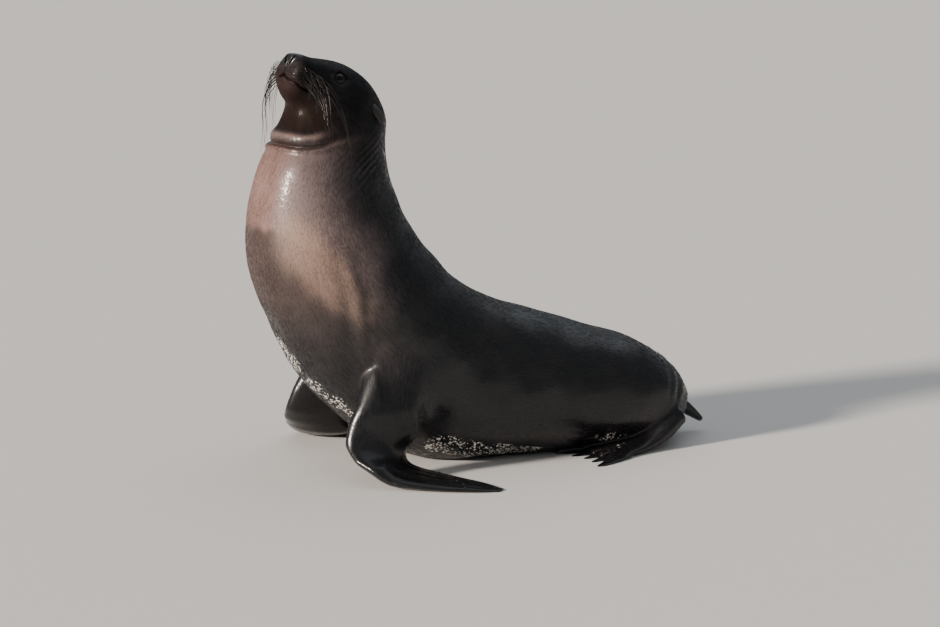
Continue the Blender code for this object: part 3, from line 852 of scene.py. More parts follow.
# Below this line the chest is still soaked, and darker: how far ahead, and how high. It is uneven,
# fades behind the chest, and is weaker round the side
SOAKED_LINE = ((-0.47, -0.41, -0.37, -0.325, -0.28), (0.505, 0.501, 0.464, 0.414, 0.356))
SOAKED_EDGE, SOAKED_RAGGED, CHEST_BACK = (-0.006, 0.010), 0.004, (-0.28, -0.21)
SOAKED_SIDE, SOAKED_LOSS = (50, 95), 0.5
# About that line the sides are tan, paler drier fur and partly painted sheen on the front of the
# shoulder: from and to below it, round the side, and by height
TAN_FROM, TAN_TO, TAN_HEIGHT = (-0.085, 0.012), (0.036, 0.146), (0.255, 0.375)
TAN_SIDE, TAN_SIDE_END = (18, 60), (76, 108)
ROSY_SIDE = (16, 50)
# For the streaks, the hide is unrolled round tubes of about these radii: body and limb
LIE_ROUND, LIE_ROUND_LIMB = 0.12, 0.05
# Where sand clings, as middle and radii, on both sides
SAND = (
    ((0.000, -0.412, 0.252), (0.030, 0.030, 0.026)),
    ((0.012, -0.394, 0.218), (0.040, 0.030, 0.026)),
    ((0.040, -0.355, 0.172), (0.035, 0.030, 0.022)),
    ((0.065, -0.320, 0.140), (0.032, 0.030, 0.022)),
    ((0.085, -0.285, 0.112), (0.030, 0.030, 0.020)),
    ((0.140, -0.108, 0.044), (0.050, 0.042, 0.028)),
    ((0.130, -0.055, 0.034), (0.050, 0.045, 0.026)),
    ((0.130, 0.005, 0.026), (0.055, 0.055, 0.018)),
    ((0.130, 0.065, 0.018), (0.055, 0.055, 0.011)),
    ((0.150, 0.268, 0.032), (0.045, 0.045, 0.014)),
)


def mark(mesh, name, values):
    """Keeps a value at each vertex, for the materials to read."""
    kind, field = ("FLOAT", "value") if values.ndim == 1 else ("FLOAT_VECTOR", "vector")
    layer = mesh.attributes.new(name, kind, "POINT")
    layer.data.foreach_set(field, values.astype(np.float32).ravel())


points = points_of(skin.data)
local = moved(points, TO_HEAD)
mirrored, both_sides = folded_over(local), folded_over(points)
limb = np.maximum.reduce(list(of_limb.values()))
off_middle = np.degrees(np.abs(angle))
below_fold = local[:, 2] - FOLD_CLIMB * (local[:, 1] - FOLD_AHEAD)
throat = sum(part * smooth_step(*span, below_fold) for part, span in BROWN_STARTS)
full, gone = [np.interp(points[:, 2], BROWN_HEIGHTS, ends) for ends in (BROWN_FULL, BROWN_GONE)]
brown = throat * (1 - smooth_step(full, gone, off_middle))
brown *= smooth_step(*BROWN_FOOT, points[:, 2]) * (1 - smooth_step(*BROWN_BACK, points[:, 1]))
# The roll of fat over the fold is brown too, and not as dark as the throat above it: a warm painted
# highlight along the roll
brown = np.maximum(brown, ROLL_BROWN * lit_roll)
naked = np.zeros(len(points))
for name in SIDES:
    arm_along, foot_along = limb_place[f"fore_{name}"][0], limb_place[f"hind_{name}"][0]
    flank = smooth_step(*FLANK_BEHIND, points[:, 1]) * smooth_step(*FLANK_ABOVE, points[:, 2])
    on_arm = of_limb[f"fore_{name}"] * (1 - flank)
    naked = np.maximum(naked, on_arm * smooth_step(*BARE_ARM, arm_along))
    naked = np.maximum(naked, of_limb[f"hind_{name}"] * smooth_step(*BARE_FOOT, foot_along))
nose = (1 - smooth_step(*NOSE_BACK, local[:, 1])) * (1 - smooth_step(*NOSE_HALF, mirrored[:, 0]))
nose *= smooth_step(*NOSE_FOOT, local[:, 2])
pale = mound(mirrored, *PALE_PAD) * (1 - nose)
lips = mound(mirrored, *LIPS) * (1 - smooth_step(*LIPS_BACK, local[:, 1]))
# The rims of the lids are bare and black like the nose
nose = np.maximum(nose, smooth_step(*LID_RIM, lid_ring))
sand = np.maximum.reduce([mound(both_sides, *patch) for patch in SAND])
# The dark of the throat: its dark fur, with painted shade under the chin and in the crease of the fold
dry = np.clip(THROAT_GAIN * mound(mirrored, *DARK_SHADED_THROAT) + fold_shade, 0, 1) * (1 - ROLL_LOSES_SHADE * lit_roll)
below_line = np.interp(points[:, 1], *SOAKED_LINE) - points[:, 2]
below_line += SOAKED_RAGGED * np.sin(points[:, 0] * 120 + points[:, 1] * 75)
on_chest = 1 - smooth_step(*CHEST_BACK, points[:, 1])
soaked = smooth_step(*SOAKED_EDGE, below_line) * on_chest
soaked *= 1 - SOAKED_LOSS * smooth_step(*SOAKED_SIDE, off_middle)
tan = smooth_step(*TAN_FROM, below_line) * (1 - smooth_step(*TAN_TO, below_line)) * on_chest
tan *= smooth_step(*TAN_SIDE, off_middle) * (1 - smooth_step(*TAN_SIDE_END, off_middle))
# On the roll of fat tan is laid on as well, as painted light
tan = np.maximum(tan * smooth_step(*TAN_HEIGHT, points[:, 2]), ROLL_TAN * lit_roll)
# The brown is rosy down the middle and greyer round the side, where the grey is partly painted sheen of
# the wet coat
rosy = (1 - smooth_step(*ROSY_SIDE, off_middle)) * (1 - ROLL_ROSY * lit_roll)
# Where the fur stands thick, on the head and throat, it traps the light
of_head = (1 - smooth_step(*FUR_BACK, local[:, 1])) * smooth_step(*FUR_BELOW, local[:, 2])
trap = np.clip(THROAT_GAIN * mound(mirrored, *THICK_THROAT), 0, 1) * (1 - ROLL_TRAP * lit_roll)
trap = np.maximum(trap, HEAD_TRAP * of_head) * (1 - nose)
on_limb = [near > 0 for near in of_limb.values()]
limb_along, limb_angle = [
    np.select(on_limb, [place[i] for place in limb_place.values()]) for i in (0, 1)
]
MARKINGS = {"brown": brown, "naked": naked, "nose": nose, "pale": pale, "lips": lips, "sand": sand}
MARKINGS |= {"dry": dry, "follicle": follicle, "soaked": soaked, "tan": tan, "rosy": rosy, "trap": trap}
MARKINGS |= {"limb": limb}
for name, length, around_it, radius in (
    ("lie_body", along, angle, LIE_ROUND),
    ("lie_limb", limb_along, limb_angle, LIE_ROUND_LIMB),
):
    tube = [length, radius * np.cos(around_it), radius * np.sin(around_it)]
    MARKINGS[name] = np.stack(tube, axis=1)
for name, values in MARKINGS.items():
    mark(skin.data, name, values)


# ---------------------------------------------------------------------------------------------
# The finish of hide and coat: short wet fur, combed into fine streaks from nose to tail by the
# water, over black skin. The wet film gives a tight gloss over a softer sheen.

DARK, DARK_SOFT = "#0f1012", "#201f22"
# THIN_BROWN, the greyer brown round the side, is partly painted sheen
BROWN, BROWN_SOFT, THIN_BROWN = "#684e47", "#8e716a", "#7b6a68"
SOAKED_BROWN, TAN = "#3f332f", "#a08577"
NAKED, NAKED_SOFT = "#09090a", "#171618"
PALE, LIP, SAND_GRAIN = "#42332f", "#2f1d19", "#f2ece4"
# The throat's dark brown also paints the shade under the chin and in the fold
THROAT, THROAT_SOFT = "#140c09", "#2b1c17"
# How much of its colour each mark lays on
MARK_SHARES = {"soaked": 0.90, "dry": 0.85, "lips": 0.75, "follicle": 0.8}
# Real hair clumps are about 0.8 mm wide and 12 mm long, and are drawn about twice that to show
STREAK_WIDTH, STREAK_LENGTH = 0.0016, 0.022
# Patterns, as how many to the metre: patches of tone about 110 mm wide, flecks of 6 mm, clumps of
# sand 17 mm apart, gaps in the film of water of 38 mm, and its ripples of 14 mm
PATCHES, FLECKS, CLUMPS, FILM_GAPS, RIPPLES = 9.0, 160.0, 60.0, 26.0, 70.0
# Wet sand clings in clumps of 3 to 5 mm
SAND_GRAIN_SIZE = 0.0052
# The reach of the smallest and largest grains, how crumbled and how soft their edges are, and where
# sand lies thick or only darkens the skin, as wet skin with painted shade between the grains
GRAIN_REACH, GRAIN_CRUMBS, GRAIN_EDGE = (0.16, 0.56), 0.35, (0.12, 0.22)
SAND_THICK, SAND_THIN, SAND_WET_AND_SHADE = (0.16, 0.26), (0.10, 0.26), 0.8
# How far patches and streaks fray the markings' edges, and where tones and speckles change over
WOBBLE, COMB, TONE_SPAN, SPECKLE_SPAN = 0.6, 0.4, (0.70, 1.35), (0.42, 0.62)
# Wet hair, and over it a film of water, which thick fur breaks up
HAIR_IOR, HAIR_SPECULAR, WATER_IOR, WATER_ROUGHNESS = 1.45, 0.35, 1.33, 0.14
FILM_OPEN, FILM_TRAPPED = 0.50, 0.05
GLINT_OPEN, GLINT_TRAPPED = "#ffffff", "#4a4a4a"
GLOSS_WET, GLOSS_DULL, SAND_ROUGHNESS = 0.22, 0.42, 0.85
# The film goes from whole to broken between these, and brown and thick fur are this much rougher
FILM_BREAKS, BROWN_DULLS, FUR_DULLS = (0.75, 1.25), 0.14, 0.15
# Bumps in metres, and their strength: the ripples of the film, and the hair with its flecks and sand
RIPPLE_HEIGHT, RIPPLE_STRENGTH = 0.0012, 0.8
HAIR_HEIGHT, HAIR_STRENGTH, FLECK_RELIEF, GRAIN_RELIEF = 0.0009, 0.35, 0.35, 1.2

wet_coat, tree, shader = new_material("wet_coat")
marks = {
    name: add(tree, "Attribute", attribute_name=name).outputs["Fac"]
    for name, values in MARKINGS.items()
    if values.ndim == 1
}
position = add(tree, "NewGeometry")
broad = add(tree, "TexNoise", {"Vector": position, "Scale": PATCHES, "Detail": 4.0})
fine = add(tree, "TexNoise", {"Vector": position, "Scale": FLECKS, "Detail": 3.0})
clinging = add(tree, "TexNoise", {"Vector": position, "Scale": CLUMPS, "Detail": 3.0})
film = add(tree, "TexNoise", {"Vector": position, "Scale": FILM_GAPS, "Detail": 3.0})
# The streaks are noise drawn out along the lie of the coat, on the body and on the limbs
streaks = []
streak_scale = (1 / STREAK_LENGTH, 1 / STREAK_WIDTH, 1 / STREAK_WIDTH)
for name, start in (("lie_body", 0.0), ("lie_limb", 4.0)):
    lie = add(tree, "Attribute", attribute_name=name).outputs["Vector"]
    place = add(tree, "Mapping", {"Vector": lie, "Location": (start, 0, 0), "Scale": streak_scale})
    drawn_out = {"Vector": place, "Scale": 1.0, "Detail": 3.0, "Roughness": 0.6}
    streaks.append(add(tree, "TexNoise", drawn_out))
streak = add(tree, "Mix", {0: marks["limb"], 2: streaks[0], 3: streaks[1]})

# Patches and streaks fray the edges of brown, rosy and tan: how far, and how each is then eased
wobble = add(tree, "Math", {0: broad, 1: WOBBLE, 2: -WOBBLE / 2}, operation="MULTIPLY_ADD")
comb = add(tree, "Math", {0: streak, 1: COMB, 2: -COMB / 2}, operation="MULTIPLY_ADD")
ragged = add(tree, "Math", {0: wobble, 1: comb}, operation="ADD")
share_of = {}
for name, fray, low, high, most in (
    ("brown", 1.0, 0.0, 0.95, 1.0),
    ("rosy", 0.6, 0.0, 1.0, 1.0),
    ("tan", 0.4, 0.05, 1.0, 0.90),
):
    fringe = add(tree, "Math", {0: ragged, 1: fray}, operation="MULTIPLY")
    frayed = add(tree, "Math", {0: marks[name], 1: fringe}, operation="ADD")
    eased = {0: frayed, 1: low, 2: high, 4: most}
    share_of[name] = add(tree, "MapRange", eased, interpolation_type="SMOOTHSTEP")
for name, strength in MARK_SHARES.items():
    share_of[name] = add(tree, "Math", {0: marks[name], 1: strength}, operation="MULTIPLY")
share_of["bare"] = add(tree, "Math", {0: marks["naked"], 1: marks["nose"]}, operation="MAXIMUM")
speckle = {0: fine, 1: SPECKLE_SPAN[0], 2: SPECKLE_SPAN[1]}
speckle = add(tree, "MapRange", speckle, interpolation_type="SMOOTHSTEP")
share_of["pale"] = add(tree, "Math", {0: marks["pale"], 1: speckle}, operation="MULTIPLY")

# Sand: rounded grains of all sizes, crumbled at their edges, in clumps on skin that it darkens, partly
# wet and partly painted shade between the grains
grains = add(tree, "TexVoronoi", {"Vector": position, "Scale": 1 / SAND_GRAIN_SIZE})
red = add(tree, "SeparateColor", {0: grains.outputs["Color"]})
grain_reach = {0: red, 3: GRAIN_REACH[0], 4: GRAIN_REACH[1]}
grain_reach = add(tree, "MapRange", grain_reach, interpolation_type="SMOOTHSTEP")
crumbs = add(tree, "Math", {0: fine, 1: GRAIN_CRUMBS}, operation="MULTIPLY")
crumbled = add(tree, "Math", {0: grains, 1: crumbs}, operation="ADD")
crumbled = add(tree, "Math", {0: crumbled, 1: grain_reach}, operation="SUBTRACT")
speck = {0: crumbled, 1: GRAIN_EDGE[0], 2: GRAIN_EDGE[1], 3: 1.0, 4: 0.0}
speck = add(tree, "MapRange", speck, interpolation_type="SMOOTHSTEP")
clinging = add(tree, "Math", {0: clinging, 1: marks["sand"]}, operation="MULTIPLY")
thick = {0: clinging, 1: SAND_THICK[0], 2: SAND_THICK[1]}
thick = add(tree, "MapRange", thick, interpolation_type="SMOOTHSTEP")
thin = {0: clinging, 1: SAND_THIN[0], 2: SAND_THIN[1]}
thin = add(tree, "MapRange", thin, interpolation_type="SMOOTHSTEP")
share_of["grain"] = add(tree, "Math", {0: thick, 1: speck}, operation="MULTIPLY")
share_of["under_sand"] = add(tree, "Math", {0: thin, 1: SAND_WET_AND_SHADE}, operation="MULTIPLY")

# Hair is darker and softer in turn along the streaks, and naked skin from fleck to fleck
toned = add(tree, "Math", {0: streak, 1: broad}, operation="ADD")
toned = {0: toned, 1: TONE_SPAN[0], 2: TONE_SPAN[1]}
toned = add(tree, "MapRange", toned, interpolation_type="SMOOTHSTEP")
tones = {}
for name, by, deep, soft in (
    ("dark", toned, DARK, DARK_SOFT),
    ("brown", toned, BROWN, BROWN_SOFT),
    ("throat", toned, THROAT, THROAT_SOFT),
    ("bare", fine, NAKED, NAKED_SOFT),
):
    tones[name] = add(tree, "Mix", {0: by, 6: linear(deep), 7: linear(soft)}, data_type="RGBA")
# The chest, and then the whole hide: each colour is laid over the ones before it
chest = linear(THIN_BROWN)
for name, laid_on in (
    ("rosy", tones["brown"]),
    ("soaked", linear(SOAKED_BROWN)),
    ("tan", linear(TAN)),
):
    chest = add(tree, "Mix", {0: share_of[name], 6: chest, 7: laid_on}, data_type="RGBA")
colour = tones["dark"]
for name, laid_on in (
    ("brown", chest),
    ("dry", tones["throat"]),
    ("bare", tones["bare"]),
    ("pale", linear(PALE)),
    ("lips", linear(LIP)),
    ("follicle", linear(DARK)),
    ("under_sand", linear(DARK)),
    ("grain", linear(SAND_GRAIN)),
):
    colour = add(tree, "Mix", {0: share_of[name], 6: colour, 7: laid_on}, data_type="RGBA")

# Where the film of water is whole, the coat is at its smoothest
gloss = add(tree, "Math", {0: film, 1: streak}, operation="ADD")
gloss = {0: gloss, 1: FILM_BREAKS[0], 2: FILM_BREAKS[1], 3: GLOSS_WET, 4: GLOSS_DULL}
gloss = add(tree, "MapRange", gloss, interpolation_type="SMOOTHSTEP")
for rougher, by in ((share_of["brown"], BROWN_DULLS), (marks["trap"], FUR_DULLS)):
    rougher = add(tree, "Math", {0: rougher, 1: by}, operation="MULTIPLY")
    gloss = add(tree, "Math", {0: gloss, 1: rougher}, operation="ADD")
glint = {0: marks["trap"], 6: linear(GLINT_OPEN), 7: linear(GLINT_TRAPPED)}
film_weight = {0: marks["trap"], 3: FILM_OPEN, 4: FILM_TRAPPED}
# The ripples of the film break up its glints
ripple = add(tree, "TexNoise", {"Vector": position, "Scale": RIPPLES, "Detail": 3.0, "Roughness": 0.6})
relief = streak
for pattern, height in ((fine, FLECK_RELIEF), (share_of["grain"], GRAIN_RELIEF)):
    pattern = add(tree, "Math", {0: pattern, 1: height}, operation="MULTIPLY")
    relief = add(tree, "Math", {0: relief, 1: pattern}, operation="ADD")
ripple = {"Height": ripple, "Strength": RIPPLE_STRENGTH, "Distance": RIPPLE_HEIGHT}
relief = {"Height": relief, "Strength": HAIR_STRENGTH, "Distance": HAIR_HEIGHT}
finish = {
    "Base Color": colour,
    "Roughness": add(tree, "Mix", {0: share_of["grain"], 2: gloss, 3: SAND_ROUGHNESS}),
    "IOR": HAIR_IOR,
    "Specular IOR Level": HAIR_SPECULAR,
    "Specular Tint": add(tree, "Mix", glint, data_type="RGBA"),
    "Coat Weight": add(tree, "MapRange", film_weight, interpolation_type="SMOOTHSTEP"),
    "Coat Roughness": WATER_ROUGHNESS,
    "Coat IOR": WATER_IOR,
    "Coat Normal": add(tree, "Bump", ripple),
    "Normal": add(tree, "Bump", relief),
}
set_inputs(shader, finish)

skin.data.materials.clear()
skin.data.materials.append(wet_coat)
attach(skin, "root")
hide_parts(*flesh_nodes)


# ---------------------------------------------------------------------------------------------
# Eyes: large wet balls, all but black, with a dark brown iris behind a clear swelling. They sit
# in the skin's sockets, held by the lids.

CORNEA_RISE = 0.0008
PUPIL_ANGLE, IRIS_ANGLE = math.radians(13), math.radians(40)
# How far the edges of pupil and iris are blurred, as shares of their angles
PUPIL_EDGE, IRIS_EDGE = (1, 1.3), (0.92, 1.05)
PUPIL, IRIS, IRIS_SOFT, EYE_WHITE = "#020202", "#0b0604", "#1c110b", "#120c0b"
# Flecks from side to side of the eye, too fine to show one by one
IRIS_FLECKS = 900.0
EYE_ROUGHNESS, TEAR_IOR = 0.03, 1.34

# A ball of clear jelly under tears: its glints are small, sharp and bright
eye_finish, tree, shader = new_material("wet_eye")
facing = add(tree, "Attribute", attribute_name="facing").outputs["Fac"]
flecks = add(tree, "TexNoise", {"Scale": IRIS_FLECKS, "Detail": 2.0})
colour = linear(PUPIL)
iris = add(tree, "Mix", {0: flecks, 6: linear(IRIS), 7: linear(IRIS_SOFT)}, data_type="RGBA")
for angle_out, edge, laid_on in (
    (PUPIL_ANGLE, PUPIL_EDGE, iris),
    (IRIS_ANGLE, IRIS_EDGE, linear(EYE_WHITE)),
):
    beyond = {0: facing, 1: angle_out * edge[0], 2: angle_out * edge[1]}
    beyond = add(tree, "MapRange", beyond, interpolation_type="SMOOTHSTEP")
    colour = add(tree, "Mix", {0: beyond, 6: colour, 7: laid_on}, data_type="RGBA")
set_inputs(shader, {"Base Color": colour, "Roughness": EYE_ROUGHNESS, "IOR": TEAR_IOR})


def new_piece(name, mesh, finish, slot, *nodes):
    """A finished piece of her, which stands for the named solids."""
    mesh.materials.append(finish)
    mesh.shade_smooth()
    piece = bpy.data.objects.new(name, mesh)
    bpy.context.scene.collection.objects.link(piece)
    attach(piece, "root")
    if nodes:
        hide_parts(*nodes)
    return piece


for name, side in SIDES.items():
    gaze = gaze_of(side)
    shape = bmesh.new()
    bmesh.ops.create_uvsphere(shape, u_segments=48, v_segments=32, radius=EYE_RADIUS)
    mesh = bpy.data.meshes.new(f"eyeball_{name}")
    shape.to_mesh(mesh)
    shape.free()
    ball = points_of(mesh)
    ball = ball @ np.array(Vector(gaze).to_track_quat("Z", "Y").to_matrix()).T
    facing = np.arccos(np.clip(ball @ gaze / EYE_RADIUS, -1, 1))
    swell = 1 + CORNEA_RISE / EYE_RADIUS * (1 - smooth_step(0, IRIS_ANGLE, facing))
    place_points(mesh, EYES[name] + ball * swell[:, None])
    mark(mesh, "facing", facing)
    new_piece(f"eyeball_{name}", mesh, eye_finish, "eye", f"eye_{name}")


# ---------------------------------------------------------------------------------------------
# Ears: a small furled leaf of gristle behind each eye, rolled to a slit on its under side, which
# points out, back and down and grows out of the skin.

EAR_ROOT, EAR_LIE = (0.074, 0.190, -0.004), (0.62, 0.66, -0.42)
EAR_LENGTH, EAR_WALL = 0.036, 0.0011
EAR_BEND = (-0.006, 0.0, -0.004)
# Along the ear: share of its length, half width, half thickness, turns of the roll
EAR_FORM = np.array(
    (
        (-0.25, 0.0082, 0.0054, 0.95),
        (0.10, 0.0080, 0.0052, 0.92),
        (0.40, 0.0072, 0.0042, 0.86),
        (0.75, 0.0046, 0.0026, 0.90),
        (1.00, 0.0010, 0.0008, 1.00),
    )
)
EAR_ROWS, EAR_AROUND = 22, 28
# The way that the ear's flat side runs, and how much further out one edge lies than the other
EAR_FLAT_WAY, EAR_CURL = np.array((0, 0.45, 0.9)), 0.10
EAR_DARK, EAR_SOFT = "#1b1716", "#3b2f2c"
# Mottles from end to end of the ear, each about 0.15 mm
EAR_MOTTLES, EAR_RELIEF = 240.0, 0.0006
EAR_ROUGHNESS, EAR_WET = 0.38, 0.3


def grid_faces(rows, columns):
    """Quads between the points of a grid."""
    first = (np.arange(rows - 1)[:, None] * columns + np.arange(columns - 1)).ravel()
    return np.stack([first, first + 1, first + columns + 1, first + columns], axis=1)


def mesh_from(name, places, faces):
    """A mesh from arrays of places and of faces that all have the same number of corners."""
    mesh = bpy.data.meshes.new(name)
    mesh.vertices.add(len(places))
    mesh.vertices.foreach_set("co", places.astype(np.float32).ravel())
    corners = faces.shape[1]
    mesh.loops.add(faces.size)
    mesh.loops.foreach_set("vertex_index", faces.astype(np.int32).ravel())
    mesh.polygons.add(len(faces))
    mesh.polygons.foreach_set("loop_start", np.arange(0, faces.size, corners, dtype=np.int32))
    mesh.update(calc_edges=True)
    return mesh


# Thin furred hide over gristle, wet: black-brown, with a dull gloss
ear_finish, tree, shader = new_material("ear_hide")
mottle = add(tree, "TexNoise", {"Scale": EAR_MOTTLES, "Detail": 3.0})
colour = add(tree, "Mix", {0: mottle, 6: linear(EAR_DARK), 7: linear(EAR_SOFT)}, data_type="RGBA")
bump = add(tree, "Bump", {"Height": mottle, "Strength": 0.3, "Distance": EAR_RELIEF})
set_inputs(shader, {"Base Color": colour, "Roughness": EAR_ROUGHNESS})
set_inputs(shader, {"Coat Weight": EAR_WET, "Normal": bump})

for name, side in SIDES.items():
    mirror = np.array((side, 1, 1))
    lie = unit(mirror * EAR_LIE)
    chord = unit(EAR_FLAT_WAY - lie * (lie @ EAR_FLAT_WAY))
    outer = np.cross(lie, chord) * side
    curl = 1 + EAR_CURL * np.linspace(-1, 1, EAR_AROUND)
    places_round = np.arange(EAR_AROUND) / (EAR_AROUND - 1) - 0.5
    rows = []
    for share in np.linspace(EAR_FORM[0, 0], EAR_FORM[-1, 0], EAR_ROWS):
        width, thickness, turns = [np.interp(share, EAR_FORM[:, 0], EAR_FORM[:, i]) for i in (1, 2, 3)]
        rolled = 2 * math.pi * turns * places_round + math.pi / 2
        middle = mirror * EAR_ROOT + lie * EAR_LENGTH * share + mirror * EAR_BEND * share**2
        across = np.outer(np.cos(rolled) * curl * width, chord)
        rows.append(middle + across + np.outer(np.sin(rolled) * curl * thickness, outer))
    places = moved(np.vstack(rows), HEAD)
    mesh = mesh_from(f"furled_ear_{name}", places, grid_faces(EAR_ROWS, EAR_AROUND))
    ear = new_piece(f"furled_ear_{name}", mesh, ear_finish, "coat", f"ear_{name}")
    wall = ear.modifiers.new("wall", "SOLIDIFY")
    wall.thickness = EAR_WALL
    wall.offset = 0
    ear.data = evaluated(ear)
    ear.modifiers.clear()


# ---------------------------------------------------------------------------------------------
# Nails: three long ones on the middle toes of each hind flipper, well back from the toes' tips,
# and small knobs along the edge of each fore flipper. They are dark horn.

NAIL_LENGTH, NAIL_WIDTH = 0.019, 0.0026
KNOB_LENGTH, KNOB_WIDTH = 0.004, 0.0016
# The roots of the nails: ahead of the ankle, apart, further on along the toes, and how they fan out
NAIL_AHEAD, NAIL_APART, NAIL_ON, NAIL_FAN = 0.130, 0.0205, 0.042, math.radians(8)
# How far out from the wrist the knob of each finger lies
KNOB_PLACES = (0.195, 0.185, 0.165, 0.140, 0.110)
# A nail starts this share of its length behind its root, is this flat, and ends in a fine tip
NAIL_ROOTED, NAIL_FLATNESS, NAIL_TIP = 0.25, 0.6, 0.0001
# The power by which it tapers, how high its middle lies, and how far its tip bends down
NAIL_TAPER, NAIL_RISE, NAIL_ARCH = 1.6, 0.35, 0.10
NAIL_ROWS, NAIL_AROUND = 8, 12
# The skin under a nail is looked for from this height
ABOVE_FEET = 0.060
HORN_DARK, HORN_SOFT, HORN_ROUGHNESS = "#1d1716", "#4b3d36", 0.3
# Layers of growth from end to end of all the nails of a side, each about 1 mm
HORN_LAYERS = 700.0

# Horn, worn smooth on rock and sand: dark, a little streaky, with a soft shine
horn, tree, shader = new_material("dark_horn")
grown = add(tree, "TexNoise", {"Scale": HORN_LAYERS, "Detail": 2.0})
colour = add(tree, "Mix", {0: grown, 6: linear(HORN_DARK), 7: linear(HORN_SOFT)}, data_type="RGBA")
set_inputs(shader, {"Base Color": colour, "Roughness": HORN_ROUGHNESS})

surface = BVHTree.FromPolygons(
    [tuple(point) for point in points_of(skin.data)],
    [tuple(face.vertices) for face in skin.data.polygons],
)


def horn_nail(root, way, length, width):
    """The rings of a nail which lies along the skin and arches a little down to its tip."""
    way = unit(way)
    aside = unit(np.cross((0, 0, 1), way))
    rings = []
    turn = np.linspace(0, 2 * math.pi, NAIL_AROUND, endpoint=False)
    for share in np.linspace(-NAIL_ROOTED, 1, NAIL_ROWS):
        size = width * (1 - max(share, 0) ** NAIL_TAPER) + NAIL_TIP
        arch = NAIL_RISE * size - NAIL_ARCH * length * share**2
        broad, tall = np.outer(np.cos(turn) * size, aside), np.sin(turn) * size * NAIL_FLATNESS
        rings.append(root + way * length * share + (0, 0, arch) + (broad + np.outer(tall, (0, 0, 1))))
    return np.array(rings)


def tube_faces(rows, sides):
    """Quads of a tube of rings, each ring closed."""
    row, side = np.divmod(np.arange((rows - 1) * sides), sides)
    after = (side + 1) % sides
    first = row * sides
    return np.stack([first + side, first + after, first + sides + after, first + sides + side], axis=1)


def facing_out(mesh):
    """The mesh with every face turned outwards."""
    shape = bmesh.new()
    shape.from_mesh(mesh)
    bmesh.ops.recalc_face_normals(shape, faces=shape.faces)
    shape.to_mesh(mesh)
    shape.free()
    return mesh


def joined_tubes(name, tubes):
    """One mesh of many tubes, each an array of rings."""
    faces, start = [], 0
    for tube in tubes:
        faces.append(tube_faces(len(tube), tube.shape[1]) + start)
        start += len(tube) * tube.shape[1]
    places = np.concatenate([tube.reshape(-1, 3) for tube in tubes])
    return facing_out(mesh_from(name, places, np.concatenate(faces)))


def dropped(place):
    """The point of the skin straight under a place."""
    hit = surface.ray_cast(Vector((place[0], place[1], ABOVE_FEET)), Vector((0, 0, -1)))[0]
    return np.array(hit)


for name, side in SIDES.items():
    ankle, forward, across = foot_axes(name)
    nails = []
    for number in (-1, 0, 1):
        turned = np.array(Matrix.Rotation(NAIL_FAN * number * side, 3, "Z")) @ forward
        start = ankle + forward * NAIL_AHEAD + across * NAIL_APART * number
        nails.append(horn_nail(dropped(start + turned * NAIL_ON), turned, NAIL_LENGTH, NAIL_WIDTH))
    wrist, outward, trailing = hand_axes(name)
    for digit, out in zip(DIGITS, KNOB_PLACES):
        half_breadth = np.interp(out, *HAND_BREADTH)
        root = dropped(wrist + outward * out + trailing * half_breadth * digit)
        nails.append(horn_nail(root, outward, KNOB_LENGTH, KNOB_WIDTH))
    new_piece(f"nails_{name}", joined_tubes(f"nails_{name}", nails), horn, "naked_skin")


# ---------------------------------------------------------------------------------------------
# Whiskers: stiff tapered bristles in rows on each pad, short ahead and long behind, most of them
# dark and some pale as horn. Wet, they spring out from the pad, cling in bunches and hang down.

# Radius at the root of the shortest and the longest, and at the tip
WHISKER_RADII, WHISKER_TIP_RADIUS = (0.00045, 0.00112), 0.00024
WHISKER_SHORTEST, WHISKER_LONGEST = 0.024, 0.260
WHISKER_RINGS, WHISKER_SIDES = 22, 5
WHISKER_CLEARANCE = 0.0015
PALE_SHARE = 0.14
# Wet bristles cling in this many bunches, each with a sway of its own. Those shorter than the
# limp length are too stiff to bend far, and the right ones are swept further ahead
BUNCHES, BUNCH_SWAY, OWN_SWAY = 6, 0.22, 0.05
LIMP_LENGTH = 0.110
CLINGING, CLINGING_FROM = 0.5, (0.15, 0.8)
SWEPT_AHEAD = {"left": -0.40, "right": -1.40}
# A bristle springs out from the pad, the rear ones further back, the top row up and the lowest down
SPRING_OUT, SPRING_BACK, SPRING_UP, SPRING_DOWN = 0.3, 0.9, 0.15, 0.35
# The powers by which its weight takes over along it, and by which its spring fades
HANG_POWER, FADE_POWER = 0.6, 1.7
# Lengths grow to the rear by this power, and the top row is this share shorter
LENGTH_POWER, TOP_SHORTER = 1.1, 0.35
# A root is looked for from this far off the middle of the head
BESIDE_HEAD = 0.12
# How each varies: its length, and how far it droops
LENGTH_VARIES, DROOP_VARIES = (0.62, 1.08), (1.2, 2.4)
ROOT_DEPTH = 0.002
WHISKER_DARK, HORNY_DARK, HORNY_LIGHT = "#120d0b", "#8f7f76", "#d9cdc2"
# A pale bristle is pale towards its tip, and a dark one hardly is. Along the first part of each the
# paleness is held back, a painted shade near the root, until between these shares of its length
PALE_MOST, DARK_MOST, ROOT_SHADE_ENDS = 0.75, 0.03, (0.35, 0.75)
WHISKER_ROUGHNESS, WHISKER_SPECULAR, WHISKER_SHADES = 0.42, 0.30, 60.0
rng = np.random.default_rng(11)

# Keratin, smooth and wet: dark or pale as horn, with a thin line of light along it
bristle, tree, shader = new_material("whisker_keratin")
paleness_and_root_shade = add(tree, "Attribute", attribute_name="paleness_and_root_shade").outputs["Fac"]
shade = add(tree, "TexNoise", {"Scale": WHISKER_SHADES, "Detail": 1.0})
horny = add(tree, "Mix", {0: shade, 6: linear(HORNY_DARK), 7: linear(HORNY_LIGHT)}, data_type="RGBA")
colour = add(tree, "Mix", {0: paleness_and_root_shade, 6: linear(WHISKER_DARK), 7: horny}, data_type="RGBA")
set_inputs(shader, {"Base Color": colour, "Roughness": WHISKER_ROUGHNESS})
set_inputs(shader, {"Specular IOR Level": WHISKER_SPECULAR})


